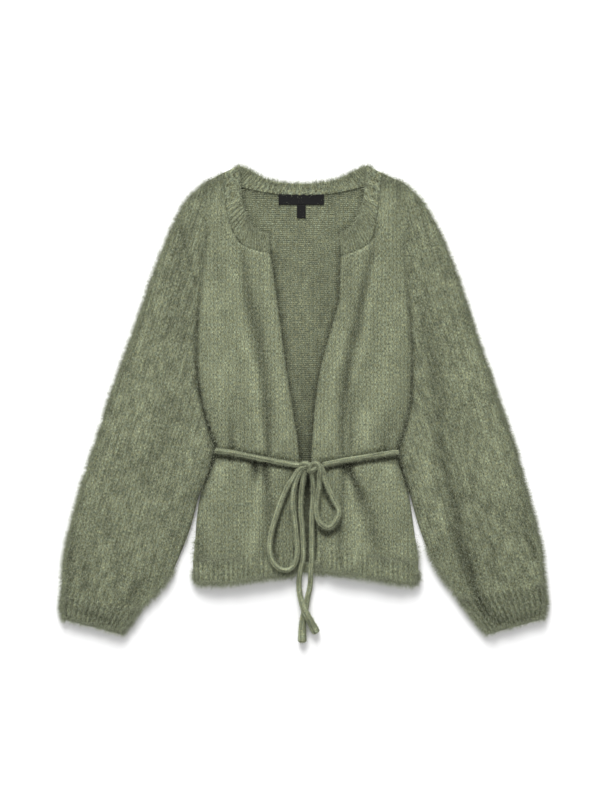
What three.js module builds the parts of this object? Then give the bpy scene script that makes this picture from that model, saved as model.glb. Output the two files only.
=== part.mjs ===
import * as THREE from 'three';

// A brushed-knit tie cardigan laid flat, in millimetres.
// +X runs to the right of the garment as it is seen, +Y up to the neck, +Z up from the surface it lies on.
// The origin is the middle of the outline, on that surface.

// Cloth and seams
const CLOTH = 2.8;
const SEAM = 0.3;
const BAND_SEAM = 0.5;
const UPPER = CLOTH + SEAM;

// How far a front stands off the back inside its edges, and a sleeve's upper layer off its lower one
const FRONT_PUFF = 4.2;
const SLEEVE_PUFF = 3.4;
const FOLD_RADIUS = 3.4;
const EDGE_FADE = 26;
const LEAST_GAP = 0.5;

// Sections over which a sleeve rises from its armhole seam and sinks to its cuff seam
const ARMHOLE_ROWS = 4;
const CUFF_ROWS = 3;

// Ribbed bands
const RIB_PITCH = 7;
const RIB_HEIGHT = 0.9;
const RIB_STEPS = 4;

// The tie
const TIE_DIAMETER = 7;
const TIE_SIDES = 8;
const TIE_STEP = 14.5;

// Grid sizes
const FRONT_COLUMNS = 15;
const SLEEVE_COLUMNS = 13;
const FOLD_STEPS = 3;
const BAND_COLUMNS = 3;

const KNIT = new THREE.MeshStandardMaterial({ color: 0x7c8465, roughness: 0.95, metalness: 0 });
const RIB_KNIT = new THREE.MeshStandardMaterial({ color: 0x757d5f, roughness: 0.95, metalness: 0 });
const TIE_KNIT = new THREE.MeshStandardMaterial({ color: 0x808968, roughness: 0.92, metalness: 0 });
const LABEL_SATIN = new THREE.MeshStandardMaterial({ color: 0x1a1b1a, roughness: 0.6, metalness: 0 });

// Left front, hem seam to shoulder: each row runs from its side or armhole point to its opening point
const FRONT_LEFT = [
  { sideX: -151, sideY: -222, openX: -13, openY: -211 },
  { sideX: -148, sideY: -192, openX: -11, openY: -186 },
  { sideX: -146, sideY: -162, openX: -9, openY: -160 },
  { sideX: -141, sideY: -130, openX: -8, openY: -137 },
  { sideX: -131, sideY: -102, openX: -7, openY: -118 },
  { sideX: -122, sideY: -84, openX: -6, openY: -104 },
  { sideX: -118, sideY: -69, openX: -5, openY: -90 },
  { sideX: -121, sideY: -55, openX: -6, openY: -76 },
  { sideX: -129, sideY: -37, openX: -8, openY: -56 },
  { sideX: -139, sideY: -10, openX: -12, openY: -30 },
  { sideX: -144, sideY: 22, openX: -17, openY: 2 },
  { sideX: -147, sideY: 55, openX: -22, openY: 34 },
  { sideX: -147, sideY: 89, openX: -27, openY: 70 },
  { sideX: -145, sideY: 117, openX: -32, openY: 108 },
  { sideX: -142, sideY: 147, openX: -37, openY: 145 },
  { sideX: -140, sideY: 178, openX: -42, openY: 180 },
  { sideX: -138, sideY: 200, openX: -45, openY: 201 },
  { sideX: -136, sideY: 222, openX: -60, openY: 203 },
  { sideX: -135, sideY: 240, openX: -76, openY: 209 },
  { sideX: -134, sideY: 254, openX: -89, openY: 221 },
  { sideX: -132, sideY: 268, openX: -99, openY: 240 },
  { sideX: -131, sideY: 282, openX: -105, openY: 266 },
  { sideX: -130, sideY: 297, openX: -109, openY: 311 },
];

// Right front, in the same way
const FRONT_RIGHT = [
  { sideX: 157, sideY: -223, openX: 18, openY: -207 },
  { sideX: 153, sideY: -192, openX: 18, openY: -183 },
  { sideX: 149, sideY: -162, openX: 17, openY: -160 },
  { sideX: 144, sideY: -130, openX: 17, openY: -137 },
  { sideX: 137, sideY: -102, openX: 15, openY: -118 },
  { sideX: 130, sideY: -86, openX: 12, openY: -104 },
  { sideX: 127, sideY: -71, openX: 11, openY: -90 },
  { sideX: 131, sideY: -57, openX: 11, openY: -76 },
  { sideX: 138, sideY: -40, openX: 12, openY: -56 },
  { sideX: 146, sideY: -12, openX: 14, openY: -28 },
  { sideX: 149, sideY: 20, openX: 17, openY: 4 },
  { sideX: 150, sideY: 55, openX: 22, openY: 36 },
  { sideX: 150, sideY: 89, openX: 31, openY: 72 },
  { sideX: 148, sideY: 115, openX: 40, openY: 104 },
  { sideX: 145, sideY: 147, openX: 48, openY: 134 },
  { sideX: 142, sideY: 178, openX: 50, openY: 168 },
  { sideX: 140, sideY: 200, openX: 51, openY: 199 },
  { sideX: 139, sideY: 222, openX: 66, openY: 202 },
  { sideX: 137, sideY: 240, openX: 80, openY: 208 },
  { sideX: 136, sideY: 254, openX: 91, openY: 219 },
  { sideX: 135, sideY: 268, openX: 97, openY: 238 },
  { sideX: 133, sideY: 282, openX: 101, openY: 266 },
  { sideX: 132, sideY: 297, openX: 106, openY: 311 },
];

// The row of each front whose opening point is the lower corner of the neckband, and the row under the tie
const NECK_ROW = 16;
const TIE_ROW = 6;

// Free edge of each front neckband, one point for each front row from the neck row up
const NECK_EDGE_LEFT = [
  { x: -48, y: 227 },
  { x: -62, y: 231 },
  { x: -70, y: 238 },
  { x: -76, y: 247 },
  { x: -80, y: 259 },
  { x: -84, y: 278 },
  { x: -87, y: 321 },
];
const NECK_EDGE_RIGHT = [
  { x: 50, y: 229 },
  { x: 58, y: 233 },
  { x: 66, y: 239 },
  { x: 73, y: 249 },
  { x: 77, y: 260 },
  { x: 82, y: 277 },
  { x: 86, y: 321 },
];

// Side edges of the back, hem seam to shoulder tip
const BACK_SIDES = [
  { y: -222, left: -151, right: 157 },
  { y: -192, left: -148, right: 153 },
  { y: -162, left: -146, right: 149 },
  { y: -126, left: -140, right: 143 },
  { y: -98, left: -129, right: 136 },
  { y: -70, left: -118, right: 127 },
  { y: -42, left: -128, right: 138 },
  { y: -12, left: -139, right: 146 },
  { y: 22, left: -144, right: 149 },
  { y: 55, left: -147, right: 150 },
  { y: 89, left: -147, right: 150 },
  { y: 158, left: -141, right: 144 },
  { y: 228, left: -136, right: 138 },
  { y: 297, left: -130, right: 132 },
];

// Top of the back from shoulder tip to shoulder tip, with the free edge of the back neckband over it
const BACK_TOP = [
  { x: -130, y: 297 },
  { x: -109, y: 309, edgeX: -87, edgeY: 320 },
  { x: -98, y: 300, edgeX: -78, edgeY: 317 },
  { x: -86, y: 293, edgeX: -69, edgeY: 312 },
  { x: -64, y: 286, edgeX: -53, edgeY: 303 },
  { x: -36, y: 281, edgeX: -33, edgeY: 298 },
  { x: 0, y: 279, edgeX: 0, edgeY: 296 },
  { x: 36, y: 281, edgeX: 33, edgeY: 299 },
  { x: 64, y: 287, edgeX: 53, edgeY: 305 },
  { x: 85, y: 294, edgeX: 69, edgeY: 313 },
  { x: 97, y: 301, edgeX: 78, edgeY: 318 },
  { x: 106, y: 309, edgeX: 86, edgeY: 320 },
  { x: 132, y: 297 },
];

// Lower edges of the hem bands
const HEM_LEFT = [
  { x: -150, y: -247 },
  { x: -144, y: -252 },
  { x: -101, y: -251 },
  { x: -46, y: -243 },
  { x: -13, y: -240 },
];
const HEM_RIGHT = [
  { x: 18, y: -236 },
  { x: 38, y: -235 },
  { x: 64, y: -240 },
  { x: 114, y: -248 },
  { x: 149, y: -253 },
  { x: 157, y: -247 },
];
const HEM_BACK = [
  { x: -149, y: -244 },
  { x: -80, y: -244 },
  { x: 0, y: -236 },
  { x: 80, y: -240 },
  { x: 156, y: -244 },
];

// Sleeves, armhole to cuff seam: each section runs from the outer fold to the inner fold
const SLEEVE_LEFT = [
  { outX: -131, outY: 299, inX: -148, inY: 88 },
  { outX: -143, outY: 289, inX: -149, inY: 74 },
  { outX: -158, outY: 275, inX: -149, inY: 58 },
  { outX: -178, outY: 238, inX: -146.5, inY: 26 },
  { outX: -199, outY: 188, inX: -140.8, inY: -9 },
  { outX: -218, outY: 134, inX: -131, inY: -37 },
  { outX: -237, outY: 80, inX: -122.2, inY: -62 },
  { outX: -250, outY: 44, inX: -124.4, inY: -82 },
  { outX: -264, outY: 4, inX: -132.5, inY: -103 },
  { outX: -284, outY: -58, inX: -143.6, inY: -133 },
  { outX: -302, outY: -114, inX: -154, inY: -172 },
  { outX: -317, outY: -168, inX: -167, inY: -207 },
  { outX: -326, outY: -208, inX: -182, inY: -239 },
  { outX: -329, outY: -243, inX: -203, inY: -266 },
  { outX: -330, outY: -268, inX: -223, inY: -284 },
];
const SLEEVE_RIGHT = [
  { outX: 133, outY: 299, inX: 151, inY: 88 },
  { outX: 145, outY: 289, inX: 152, inY: 74 },
  { outX: 160, outY: 273, inX: 153, inY: 58 },
  { outX: 181, outY: 238, inX: 151.5, inY: 26 },
  { outX: 203, outY: 188, inX: 147.6, inY: -11 },
  { outX: 221, outY: 134, inX: 140, inY: -40 },
  { outX: 239, outY: 80, inX: 131, inY: -64 },
  { outX: 252, outY: 44, inX: 132.8, inY: -84 },
  { outX: 265, outY: 4, inX: 138.8, inY: -103 },
  { outX: 286, outY: -58, inX: 146.5, inY: -133 },
  { outX: 302, outY: -114, inX: 157, inY: -170 },
  { outX: 317, outY: -168, inX: 169, inY: -202 },
  { outX: 326, outY: -212, inX: 188, inY: -238 },
  { outX: 329, outY: -252, inX: 213, inY: -271 },
];

// Cuffs, seam to open end, in the same way
const CUFF_LEFT = [
  { outX: -330, outY: -269, inX: -224, inY: -285 },
  { outX: -331, outY: -287, inX: -235, inY: -302 },
  { outX: -327, outY: -300, inX: -249, inY: -320 },
];
const CUFF_RIGHT = [
  { outX: 329, outY: -253, inX: 214, inY: -272 },
  { outX: 331, outY: -279, inX: 231, inY: -295 },
  { outX: 327, outY: -299, inX: 252, inY: -320 },
];

// Largest folds: soft ridges, or troughs where rise is negative, from one plan point to another
const FRONT_FOLDS = [
  { x1: -92, y1: 220, x2: -70, y2: 115, half: 12, rise: -2.6 },
  { x1: -70, y1: 115, x2: -52, y2: 0, half: 12, rise: -2.8 },
  { x1: -52, y1: 0, x2: -49, y2: -62, half: 11, rise: -3.4 },
  { x1: -56, y1: -104, x2: -60, y2: -140, half: 12, rise: -3.2 },
  { x1: -84, y1: -120, x2: -80, y2: -216, half: 15, rise: 2.6 },
  { x1: -101, y1: -20, x2: -93, y2: -60, half: 10, rise: -2.4 },
  { x1: -76, y1: -20, x2: -74, y2: -56, half: 10, rise: 2.6 },
  { x1: -122, y1: 120, x2: -112, y2: 20, half: 18, rise: 2 },
  { x1: 99, y1: 222, x2: 78, y2: 112, half: 12, rise: -2.6 },
  { x1: 78, y1: 112, x2: 58, y2: 5, half: 12, rise: -2.8 },
  { x1: 58, y1: 5, x2: 58, y2: -62, half: 11, rise: -3.4 },
  { x1: 61, y1: -102, x2: 74, y2: -140, half: 12, rise: -3.2 },
  { x1: 74, y1: -140, x2: 101, y2: -218, half: 13, rise: -2.8 },
  { x1: 66, y1: -150, x2: 66, y2: -230, half: 13, rise: 2.4 },
  { x1: 86, y1: -22, x2: 84, y2: -56, half: 10, rise: 2.6 },
  { x1: 124, y1: 110, x2: 114, y2: 10, half: 18, rise: 2 },
];
const SLEEVE_FOLDS = [
  { x1: 166, y1: 140, x2: 183, y2: 14, half: 11, rise: -2.4 },
  { x1: 183, y1: 14, x2: 196, y2: -98, half: 11, rise: -2.6 },
  { x1: 196, y1: -98, x2: 213, y2: -200, half: 12, rise: -2.8 },
  { x1: 213, y1: -200, x2: 234, y2: -258, half: 13, rise: -2.6 },
  { x1: 222, y1: 60, x2: 268, y2: -110, half: 22, rise: 2 },
  { x1: 276, y1: -215, x2: 284, y2: -248, half: 10, rise: -2.2 },
  { x1: -162, y1: 240, x2: -166, y2: 110, half: 16, rise: -2.2 },
  { x1: -182, y1: 60, x2: -206, y2: -90, half: 14, rise: -1.8 },
  { x1: -232, y1: 20, x2: -262, y2: -150, half: 22, rise: 2 },
  { x1: -214, y1: -214, x2: -232, y2: -262, half: 12, rise: -2.6 },
  { x1: -306, y1: -205, x2: -309, y2: -252, half: 12, rise: -2.4 },
];

// The tie, middle line: two stretches from the side seams to the knot, two bows and two free ends
const TIE_ROUTES = {
  tie_stretch_left: [
    [-121.5, -69, 9.7], [-115, -69.5, 9.9], [-107, -70.5, 9.9], [-92, -73, 9.9], [-68, -78, 9.9],
    [-45, -82.5, 9.9], [-20, -87, 11], [-3.4, -89, 13.5],
  ],
  tie_stretch_right: [
    [130.5, -71.5, 9.7], [124, -72, 9.9], [115, -73, 9.9], [103, -75, 9.9], [80, -78.5, 9.9],
    [55, -82.5, 9.9], [38, -86, 11.2], [26.4, -88, 13.5],
  ],
  tie_bow_left: [
    [-9.5, -98.5, 12.5], [-14, -106, 12.5], [-21, -117, 12.8], [-30, -137, 14], [-39, -164, 14.6],
    [-44.5, -185, 14.7], [-46, -205, 14.8], [-43, -219, 15], [-33, -230, 14.2], [-22, -232, 12.4],
    [-13.5, -225, 11], [-10.5, -208, 10.6], [-12.5, -190, 10.5], [-14, -165, 10.9], [-13.5, -137, 11.2],
    [-10, -115, 11.2], [-5.5, -105, 12],
  ],
  tie_bow_right: [
    [18.5, -102, 12.5], [20.5, -112, 11.7], [20.5, -130, 11], [18.5, -148, 10.7], [19, -162, 10.9],
    [24.5, -171.5, 11.8], [33, -173.5, 13], [42, -166, 14.4], [47.5, -153, 15], [42.5, -137.5, 14.5],
    [35, -119, 13.8], [28.5, -104, 13],
  ],
  tie_end_left: [
    [3.5, -102.5, 10], [1, -110, 8.4], [-1, -122, 6.9], [-1.5, -153, 6.8], [-1.5, -177, 6.8],
    [-0.5, -201, 6.8], [-0.5, -216, 6.8], [-3.5, -228, 7], [-4.8, -238, 7], [-6, -246, 5.3],
    [-6.3, -254, 4], [-5, -265, 5.4], [-3.2, -273, 8], [-1, -280, 10.8], [1.5, -287, 12.2],
    [4.7, -293, 11.8], [8.3, -300, 9], [13, -309.5, 4.8], [18.5, -319, 3.8],
  ],
  tie_end_right: [
    [11, -102.5, 10.2], [10, -112, 9.9], [11, -124, 7.6], [12, -137, 6.8], [11.6, -161, 6.8],
    [11.6, -185, 6.8], [11.5, -201, 6.8], [11.5, -216, 6.8], [10.5, -229, 7], [10, -238, 7],
    [9.6, -246, 5.3], [9, -254, 3.9], [7.5, -262, 3.8], [4.8, -273.5, 3.8], [2.4, -287, 3.8],
    [-0.3, -299.5, 3.8], [-1.6, -316.5, 3.8], [-1.6, -332, 3.8],
  ],
};
// Neck label and the tab under it, on the inside of the back
const LABEL_THICKNESS = 0.8;
const NECK_LABEL = { left: -34, right: 28, bottom: 265.5, top: 278.5 };
const SIZE_TAB = { left: -9, right: 3, bottom: 247, top: 265.2 };

const KNOT = { x: 11.5, y: -90, z: 13.6, halfLength: 14.5, halfWidth: 8, halfHeight: 7 };

function smooth(value) {
  const t = THREE.MathUtils.clamp(value, 0, 1);
  return t * t * (3 - 2 * t);
}

// Height of all the folds at a plan point, each falling off to its sides and past its ends
function foldHeight(folds, x, y) {
  const point = new THREE.Vector3(x, y, 0);
  const nearest = new THREE.Vector3();
  let height = 0;
  for (const fold of folds) {
    const from = new THREE.Vector3(fold.x1, fold.y1, 0);
    const to = new THREE.Vector3(fold.x2, fold.y2, 0);
    new THREE.Line3(from, to).closestPointToPoint(point, true, nearest);
    height += fold.rise * Math.exp(-((nearest.distanceTo(point) / fold.half) ** 2));
  }
  return height;
}

// A closed body from its points and four-sided faces, turned to face outwards
function closedBody(points, quads) {
  const triangles = quads.flatMap(([a, b, c, d]) => [[a, b, c], [a, c, d]]);
  let volume = 0;
  for (const [a, b, c] of triangles) {
    volume += points[a].dot(new THREE.Vector3().crossVectors(points[b], points[c]));
  }
  const facing = volume > 0 ? triangles : triangles.map(([a, b, c]) => [a, c, b]);
  const geometry = new THREE.BufferGeometry().setFromPoints(points);
  geometry.setIndex(facing.flat());
  geometry.computeVertexNormals();
  return geometry;
}

// A cloth panel from rows of plan points, each with its lower and upper height
function panelGeometry(rows) {
  const width = rows[0].length;
  const points = rows.flat().flatMap((p) => [
    new THREE.Vector3(p.x, p.y, p.low),
    new THREE.Vector3(p.x, p.y, p.high),
  ]);
  const low = (row, column) => 2 * (row * width + column);
  const high = (row, column) => low(row, column) + 1;
  const quads = [];
  for (let row = 0; row < rows.length - 1; row += 1) {
    for (let column = 0; column < width - 1; column += 1) {
      quads.push([high(row, column), high(row, column + 1), high(row + 1, column + 1), high(row + 1, column)]);
      quads.push([low(row, column), low(row + 1, column), low(row + 1, column + 1), low(row, column + 1)]);
    }
    quads.push([low(row, 0), high(row, 0), high(row + 1, 0), low(row + 1, 0)]);
    const last = width - 1;
    quads.push([high(row, last), low(row, last), low(row + 1, last), high(row + 1, last)]);
  }
  const top = rows.length - 1;
  for (let column = 0; column < width - 1; column += 1) {
    quads.push([low(0, column), low(0, column + 1), high(0, column + 1), high(0, column)]);
    quads.push([low(top, column), high(top, column), high(top, column + 1), low(top, column + 1)]);
  }
  return closedBody(points, quads);
}

// A cloth tube open at both ends, from stations that each hold an outer and an inner loop of points
function tubeGeometry(stations) {
  const around = stations[0].outer.length;
  const points = stations.flatMap((station) => [...station.outer, ...station.inner]);
  const outer = (station, k) => 2 * around * station + (k % around);
  const inner = (station, k) => outer(station, k) + around;
  const quads = [];
  for (let k = 0; k < around; k += 1) {
    for (let s = 0; s < stations.length - 1; s += 1) {
      quads.push([outer(s, k), outer(s, k + 1), outer(s + 1, k + 1), outer(s + 1, k)]);
      quads.push([inner(s, k), inner(s + 1, k), inner(s + 1, k + 1), inner(s, k + 1)]);
    }
    const end = stations.length - 1;
    quads.push([outer(0, k), inner(0, k), inner(0, k + 1), outer(0, k + 1)]);
    quads.push([outer(end, k), outer(end, k + 1), inner(end, k + 1), inner(end, k)]);
  }
  return closedBody(points, quads);
}

function named(name, geometry, material) {
  const mesh = new THREE.Mesh(geometry, material);
  mesh.name = name;
  return mesh;
}

// Underside of a front or of its hem: on the back at the edges, standing off it inside, with its folds
function frontUnderside(x, y, inset) {
  return UPPER + smooth(inset / EDGE_FADE) * Math.max(0, FRONT_PUFF + foldHeight(FRONT_FOLDS, x, y));
}

function frontPanel(name, sections) {
  const rows = sections.map((section, index) => {
    const row = [];
    const width = Math.hypot(section.openX - section.sideX, section.openY - section.sideY);
    const raised = raisedShare(index, sections.length - 1);
    for (let column = 0; column <= FRONT_COLUMNS; column += 1) {
      const t = column / FRONT_COLUMNS;
      const x = THREE.MathUtils.lerp(section.sideX, section.openX, t);
      const y = THREE.MathUtils.lerp(section.sideY, section.openY, t);
      const low = THREE.MathUtils.lerp(UPPER, frontUnderside(x, y, Math.min(t, 1 - t) * width), raised);
      row.push({ x, y, low, high: low + CLOTH });
    }
    return row;
  });
  return named(name, panelGeometry(rows), KNIT);
}

// How far a row of a front is raised: none under the tie and at the shoulder, half in the rows beside them
function raisedShare(index, last) {
  return smooth(Math.abs(index - TIE_ROW) / 2) * smooth((last - index) / 2);
}

function backPanel() {
  const span = BACK_TOP.at(-1).x - BACK_TOP[0].x;
  const bottom = BACK_SIDES[0].y;
  const height = BACK_SIDES.at(-1).y - bottom;
  const rows = BACK_SIDES.map((side) => BACK_TOP.map((top) => {
    const across = (top.x - BACK_TOP[0].x) / span;
    const up = (side.y - bottom) / height;
    return {
      x: THREE.MathUtils.lerp(side.left, side.right, across),
      y: THREE.MathUtils.lerp(bottom, top.y, up),
      low: 0,
      high: CLOTH,
    };
  }));
  return named('back', panelGeometry(rows), KNIT);
}

// A neckband stretch: rows along it, columns from its seam to its free edge
function neckband(name, seam, edge, low) {
  const rows = seam.map((from, index) => {
    const start = new THREE.Vector2(from.x, from.y);
    const end = new THREE.Vector2(edge[index].x, edge[index].y);
    start.addScaledVector(end.clone().sub(start).normalize(), BAND_SEAM);
    const row = [];
    for (let column = 0; column <= BAND_COLUMNS; column += 1) {
      const p = start.clone().lerp(end, column / BAND_COLUMNS);
      row.push({ x: p.x, y: p.y, low, high: low + CLOTH });
    }
    return row;
  });
  return named(name, panelGeometry(rows), RIB_KNIT);
}

function frontNeckband(name, sections, edge) {
  const seam = sections.slice(NECK_ROW).map(openPoint);
  return neckband(name, seam, edge, UPPER);
}

function backNeckband() {
  const stations = BACK_TOP.filter((top) => top.edgeX !== undefined);
  const edge = stations.map((top) => ({ x: top.edgeX, y: top.edgeY }));
  return neckband('neckband_back', stations, edge, 0);
}

// Height on a table of x and y at a given x, straight between its rows
function heightAt(table, x) {
  const next = Math.max(1, table.findIndex((row, index) => index > 0 && row.x >= x));
  const a = table[next - 1];
  const b = table[next];
  return THREE.MathUtils.mapLinear(x, a.x, b.x, a.y, b.y);
}

function ribHeight(step) {
  return RIB_HEIGHT * (0.5 - 0.5 * Math.cos((2 * Math.PI * step) / RIB_STEPS));
}

// A hem band under a seam line, with a given underside and, on a front, upright ribs on its upper face
function hemBand(name, start, end, lowerEdge, underside, ribbed) {
  const ribs = Math.round((end.x - start.x) / RIB_PITCH);
  const columns = ribbed ? ribs * RIB_STEPS : lowerEdge.length * 2;
  const edgeStart = lowerEdge[0].x;
  const edgeEnd = lowerEdge.at(-1).x;
  const rows = [0, 0.5, 1].map((down) => {
    const row = [];
    for (let column = 0; column <= columns; column += 1) {
      const across = column / columns;
      const seamX = THREE.MathUtils.lerp(start.x, end.x, across);
      const seamY = THREE.MathUtils.lerp(start.y, end.y, across) - BAND_SEAM;
      const edgeX = THREE.MathUtils.lerp(edgeStart, edgeEnd, across);
      const x = THREE.MathUtils.lerp(seamX, edgeX, down);
      const y = THREE.MathUtils.lerp(seamY, heightAt(lowerEdge, edgeX), down);
      const low = underside(x, y, Math.min(x - edgeStart, edgeEnd - x));
      const rib = ribbed ? ribHeight(column) : 0;
      row.push({ x, y, low, high: low + CLOTH + rib });
    }
    return row;
  });
  return named(name, panelGeometry(rows), RIB_KNIT);
}

function sidePoint(section) {
  return { x: section.sideX, y: section.sideY };
}

function openPoint(section) {
  return { x: section.openX, y: section.openY };
}

// The back hem lies on the surface under the front ones, and its ribs are on its underside, so it stays plain
function backHem() {
  const seam = BACK_SIDES[0];
  const start = { x: seam.left, y: seam.y };
  const end = { x: seam.right, y: seam.y };
  return hemBand('hem_back', start, end, HEM_BACK, () => 0, false);
}

// One section of a flattened tube: its lower layer lies flat, its two edges are folds, its upper layer rises
function flatSection(section, columns, wall, riseAt) {
  const start = new THREE.Vector2(section.outX, section.outY);
  const along = new THREE.Vector2(section.inX, section.inY).sub(start);
  const width = along.length();
  along.normalize();
  const place = (distance, z) => {
    const p = start.clone().addScaledVector(along, distance);
    return new THREE.Vector3(p.x, p.y, z);
  };
  const loop = [];
  const fold = FOLD_RADIUS - wall;
  for (let column = 0; column <= columns; column += 1) {
    const distance = THREE.MathUtils.lerp(FOLD_RADIUS, width - FOLD_RADIUS, column / columns);
    loop.push(place(distance, wall));
  }
  for (let step = 1; step < FOLD_STEPS; step += 1) {
    const angle = -Math.PI / 2 + (Math.PI * step) / FOLD_STEPS;
    loop.push(place(width - FOLD_RADIUS + fold * Math.cos(angle), FOLD_RADIUS + fold * Math.sin(angle)));
  }
  for (let column = columns; column >= 0; column -= 1) {
    const distance = THREE.MathUtils.lerp(FOLD_RADIUS, width - FOLD_RADIUS, column / columns);
    const point = place(distance, 0);
    const inset = Math.min(distance, width - distance) - FOLD_RADIUS;
    point.z = 2 * FOLD_RADIUS - wall + riseAt(point, inset, column, wall);
    loop.push(point);
  }
  for (let step = 1; step < FOLD_STEPS; step += 1) {
    const angle = Math.PI / 2 + (Math.PI * step) / FOLD_STEPS;
    loop.push(place(FOLD_RADIUS + fold * Math.cos(angle), FOLD_RADIUS + fold * Math.sin(angle)));
  }
  return loop;
}

function flatTube(name, sections, columns, riseAt, material) {
  const stations = sections.map((section, index) => ({
    outer: flatSection(section, columns, 0, (...place) => riseAt(index, ...place)),
    inner: flatSection(section, columns, CLOTH, (...place) => riseAt(index, ...place)),
  }));
  return named(name, tubeGeometry(stations), material);
}

function sleeve(name, sections) {
  const flattest = LEAST_GAP + 2 * CLOTH - 2 * FOLD_RADIUS;
  const last = sections.length - 1;
  const riseAt = (index, point, inset) => {
    const raised = SLEEVE_PUFF + foldHeight(SLEEVE_FOLDS, point.x, point.y);
    const share = smooth(index / ARMHOLE_ROWS) * smooth((last - index) / CUFF_ROWS);
    return share * smooth(inset / EDGE_FADE) * Math.max(flattest, raised);
  };
  return flatTube(name, sections, SLEEVE_COLUMNS, riseAt, KNIT);
}

function cuff(name, sections) {
  const width = Math.hypot(sections[0].inX - sections[0].outX, sections[0].inY - sections[0].outY);
  const columns = RIB_STEPS * Math.round(width / RIB_PITCH);
  const riseAt = (index, point, inset, column, wall) => (wall === 0 ? ribHeight(column) : 0);
  return flatTube(name, sections, columns, riseAt, RIB_KNIT);
}

// A label or tab: a thin woven rectangle on the inside of the back
function labelPiece(name, { left, right, bottom, top }) {
  const mesh = named(name, new THREE.BoxGeometry(right - left, top - bottom, LABEL_THICKNESS), LABEL_SATIN);
  mesh.position.set((left + right) / 2, (bottom + top) / 2, UPPER + LABEL_THICKNESS / 2);
  return mesh;
}

function tie(name, route) {
  const path = new THREE.CatmullRomCurve3(route.map(([x, y, z]) => new THREE.Vector3(x, y, z)));
  const section = new THREE.Shape();
  for (let side = 0; side < TIE_SIDES; side += 1) {
    const angle = (2 * Math.PI * side) / TIE_SIDES;
    const x = (TIE_DIAMETER / 2) * Math.cos(angle);
    const y = (TIE_DIAMETER / 2) * Math.sin(angle);
    if (side === 0) section.moveTo(x, y);
    else section.lineTo(x, y);
  }
  const steps = Math.round(path.getLength() / TIE_STEP);
  const geometry = new THREE.ExtrudeGeometry(section, { steps, extrudePath: path, curveSegments: 1 });
  return named(name, geometry, TIE_KNIT);
}

// The knot: a round-ended barrel across the tie
function knot() {
  const profile = [];
  const steps = 8;
  for (let step = 0; step <= steps; step += 1) {
    const angle = -Math.PI / 2 + (Math.PI * step) / steps;
    const radius = step === 0 || step === steps ? 0 : Math.cos(angle);
    profile.push(new THREE.Vector2(radius, Math.sin(angle)));
  }
  const geometry = new THREE.LatheGeometry(profile, 12);
  geometry.rotateZ(Math.PI / 2);
  geometry.scale(KNOT.halfLength, KNOT.halfWidth, KNOT.halfHeight);
  const mesh = named('tie_knot', geometry, TIE_KNIT);
  mesh.position.set(KNOT.x, KNOT.y, KNOT.z);
  return mesh;
}

const cardigan = new THREE.Group();
cardigan.add(
  backPanel(),
  frontPanel('front_left', FRONT_LEFT),
  frontPanel('front_right', FRONT_RIGHT),
  sleeve('sleeve_left', SLEEVE_LEFT),
  sleeve('sleeve_right', SLEEVE_RIGHT),
  cuff('cuff_left', CUFF_LEFT),
  cuff('cuff_right', CUFF_RIGHT),
  backHem(),
  hemBand('hem_left', sidePoint(FRONT_LEFT[0]), openPoint(FRONT_LEFT[0]), HEM_LEFT, frontUnderside, true),
  hemBand('hem_right', openPoint(FRONT_RIGHT[0]), sidePoint(FRONT_RIGHT[0]), HEM_RIGHT, frontUnderside, true),
  frontNeckband('neckband_left', FRONT_LEFT, NECK_EDGE_LEFT),
  frontNeckband('neckband_right', FRONT_RIGHT, NECK_EDGE_RIGHT),
  backNeckband(),
  labelPiece('neck_label', NECK_LABEL),
  labelPiece('size_tab', SIZE_TAB),
  ...Object.entries(TIE_ROUTES).map(([name, route]) => tie(name, route)),
  knot(),
);

export default cardigan;
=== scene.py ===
"""A brushed-knit tie cardigan laid flat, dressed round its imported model."""

import math
from collections import namedtuple

import bmesh
import bpy
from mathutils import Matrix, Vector, noise


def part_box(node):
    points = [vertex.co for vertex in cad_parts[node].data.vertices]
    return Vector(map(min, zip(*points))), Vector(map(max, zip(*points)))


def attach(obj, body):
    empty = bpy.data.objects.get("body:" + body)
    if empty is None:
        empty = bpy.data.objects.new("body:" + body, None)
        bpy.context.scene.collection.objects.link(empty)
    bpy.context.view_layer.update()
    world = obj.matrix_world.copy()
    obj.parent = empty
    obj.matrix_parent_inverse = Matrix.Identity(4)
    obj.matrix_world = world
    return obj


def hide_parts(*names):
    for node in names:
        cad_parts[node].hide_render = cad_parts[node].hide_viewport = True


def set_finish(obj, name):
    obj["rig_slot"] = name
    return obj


bl_info = {
    "name": "Tie cardigan",
    "version": (1, 0, 0),
    "blender": (4, 5, 0),
    "location": "3D View > Sidebar > Cardigan",
    "description": "Dresses the packed model of a tie cardigan in brushed knit",
    "category": "Object",
}

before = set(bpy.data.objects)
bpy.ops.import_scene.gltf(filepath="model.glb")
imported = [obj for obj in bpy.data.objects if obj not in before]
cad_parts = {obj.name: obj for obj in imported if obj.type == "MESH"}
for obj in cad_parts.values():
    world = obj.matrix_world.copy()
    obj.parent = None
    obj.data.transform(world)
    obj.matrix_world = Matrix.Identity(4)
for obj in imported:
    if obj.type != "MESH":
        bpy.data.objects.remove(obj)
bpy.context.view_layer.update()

# Plan tables and heights are in millimetres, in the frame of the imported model
MM = 0.001

# Cloth's thickness, the height that the fronts lie at, and how far each panel's middle rises above its edge
CLOTH = 2.8
UPPER = 3.1
FRONT_PUFF = 4.2
SLEEVE_PUFF = 3.4

# How far in from its sides a panel reaches that rise, and a sleeve in sections from its armhole and cuff
EDGE_FADE = 26
ARMHOLE_ROWS = 4
CUFF_ROWS = 3

# Lowest places that a fold may press the cloth's upper side and its lower side to
FRONT_LEAST = 3.9
SLEEVE_LEAST = 3.6
CUFF_LEAST = 4.6
UNDER_LEAST = 1.5

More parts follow.
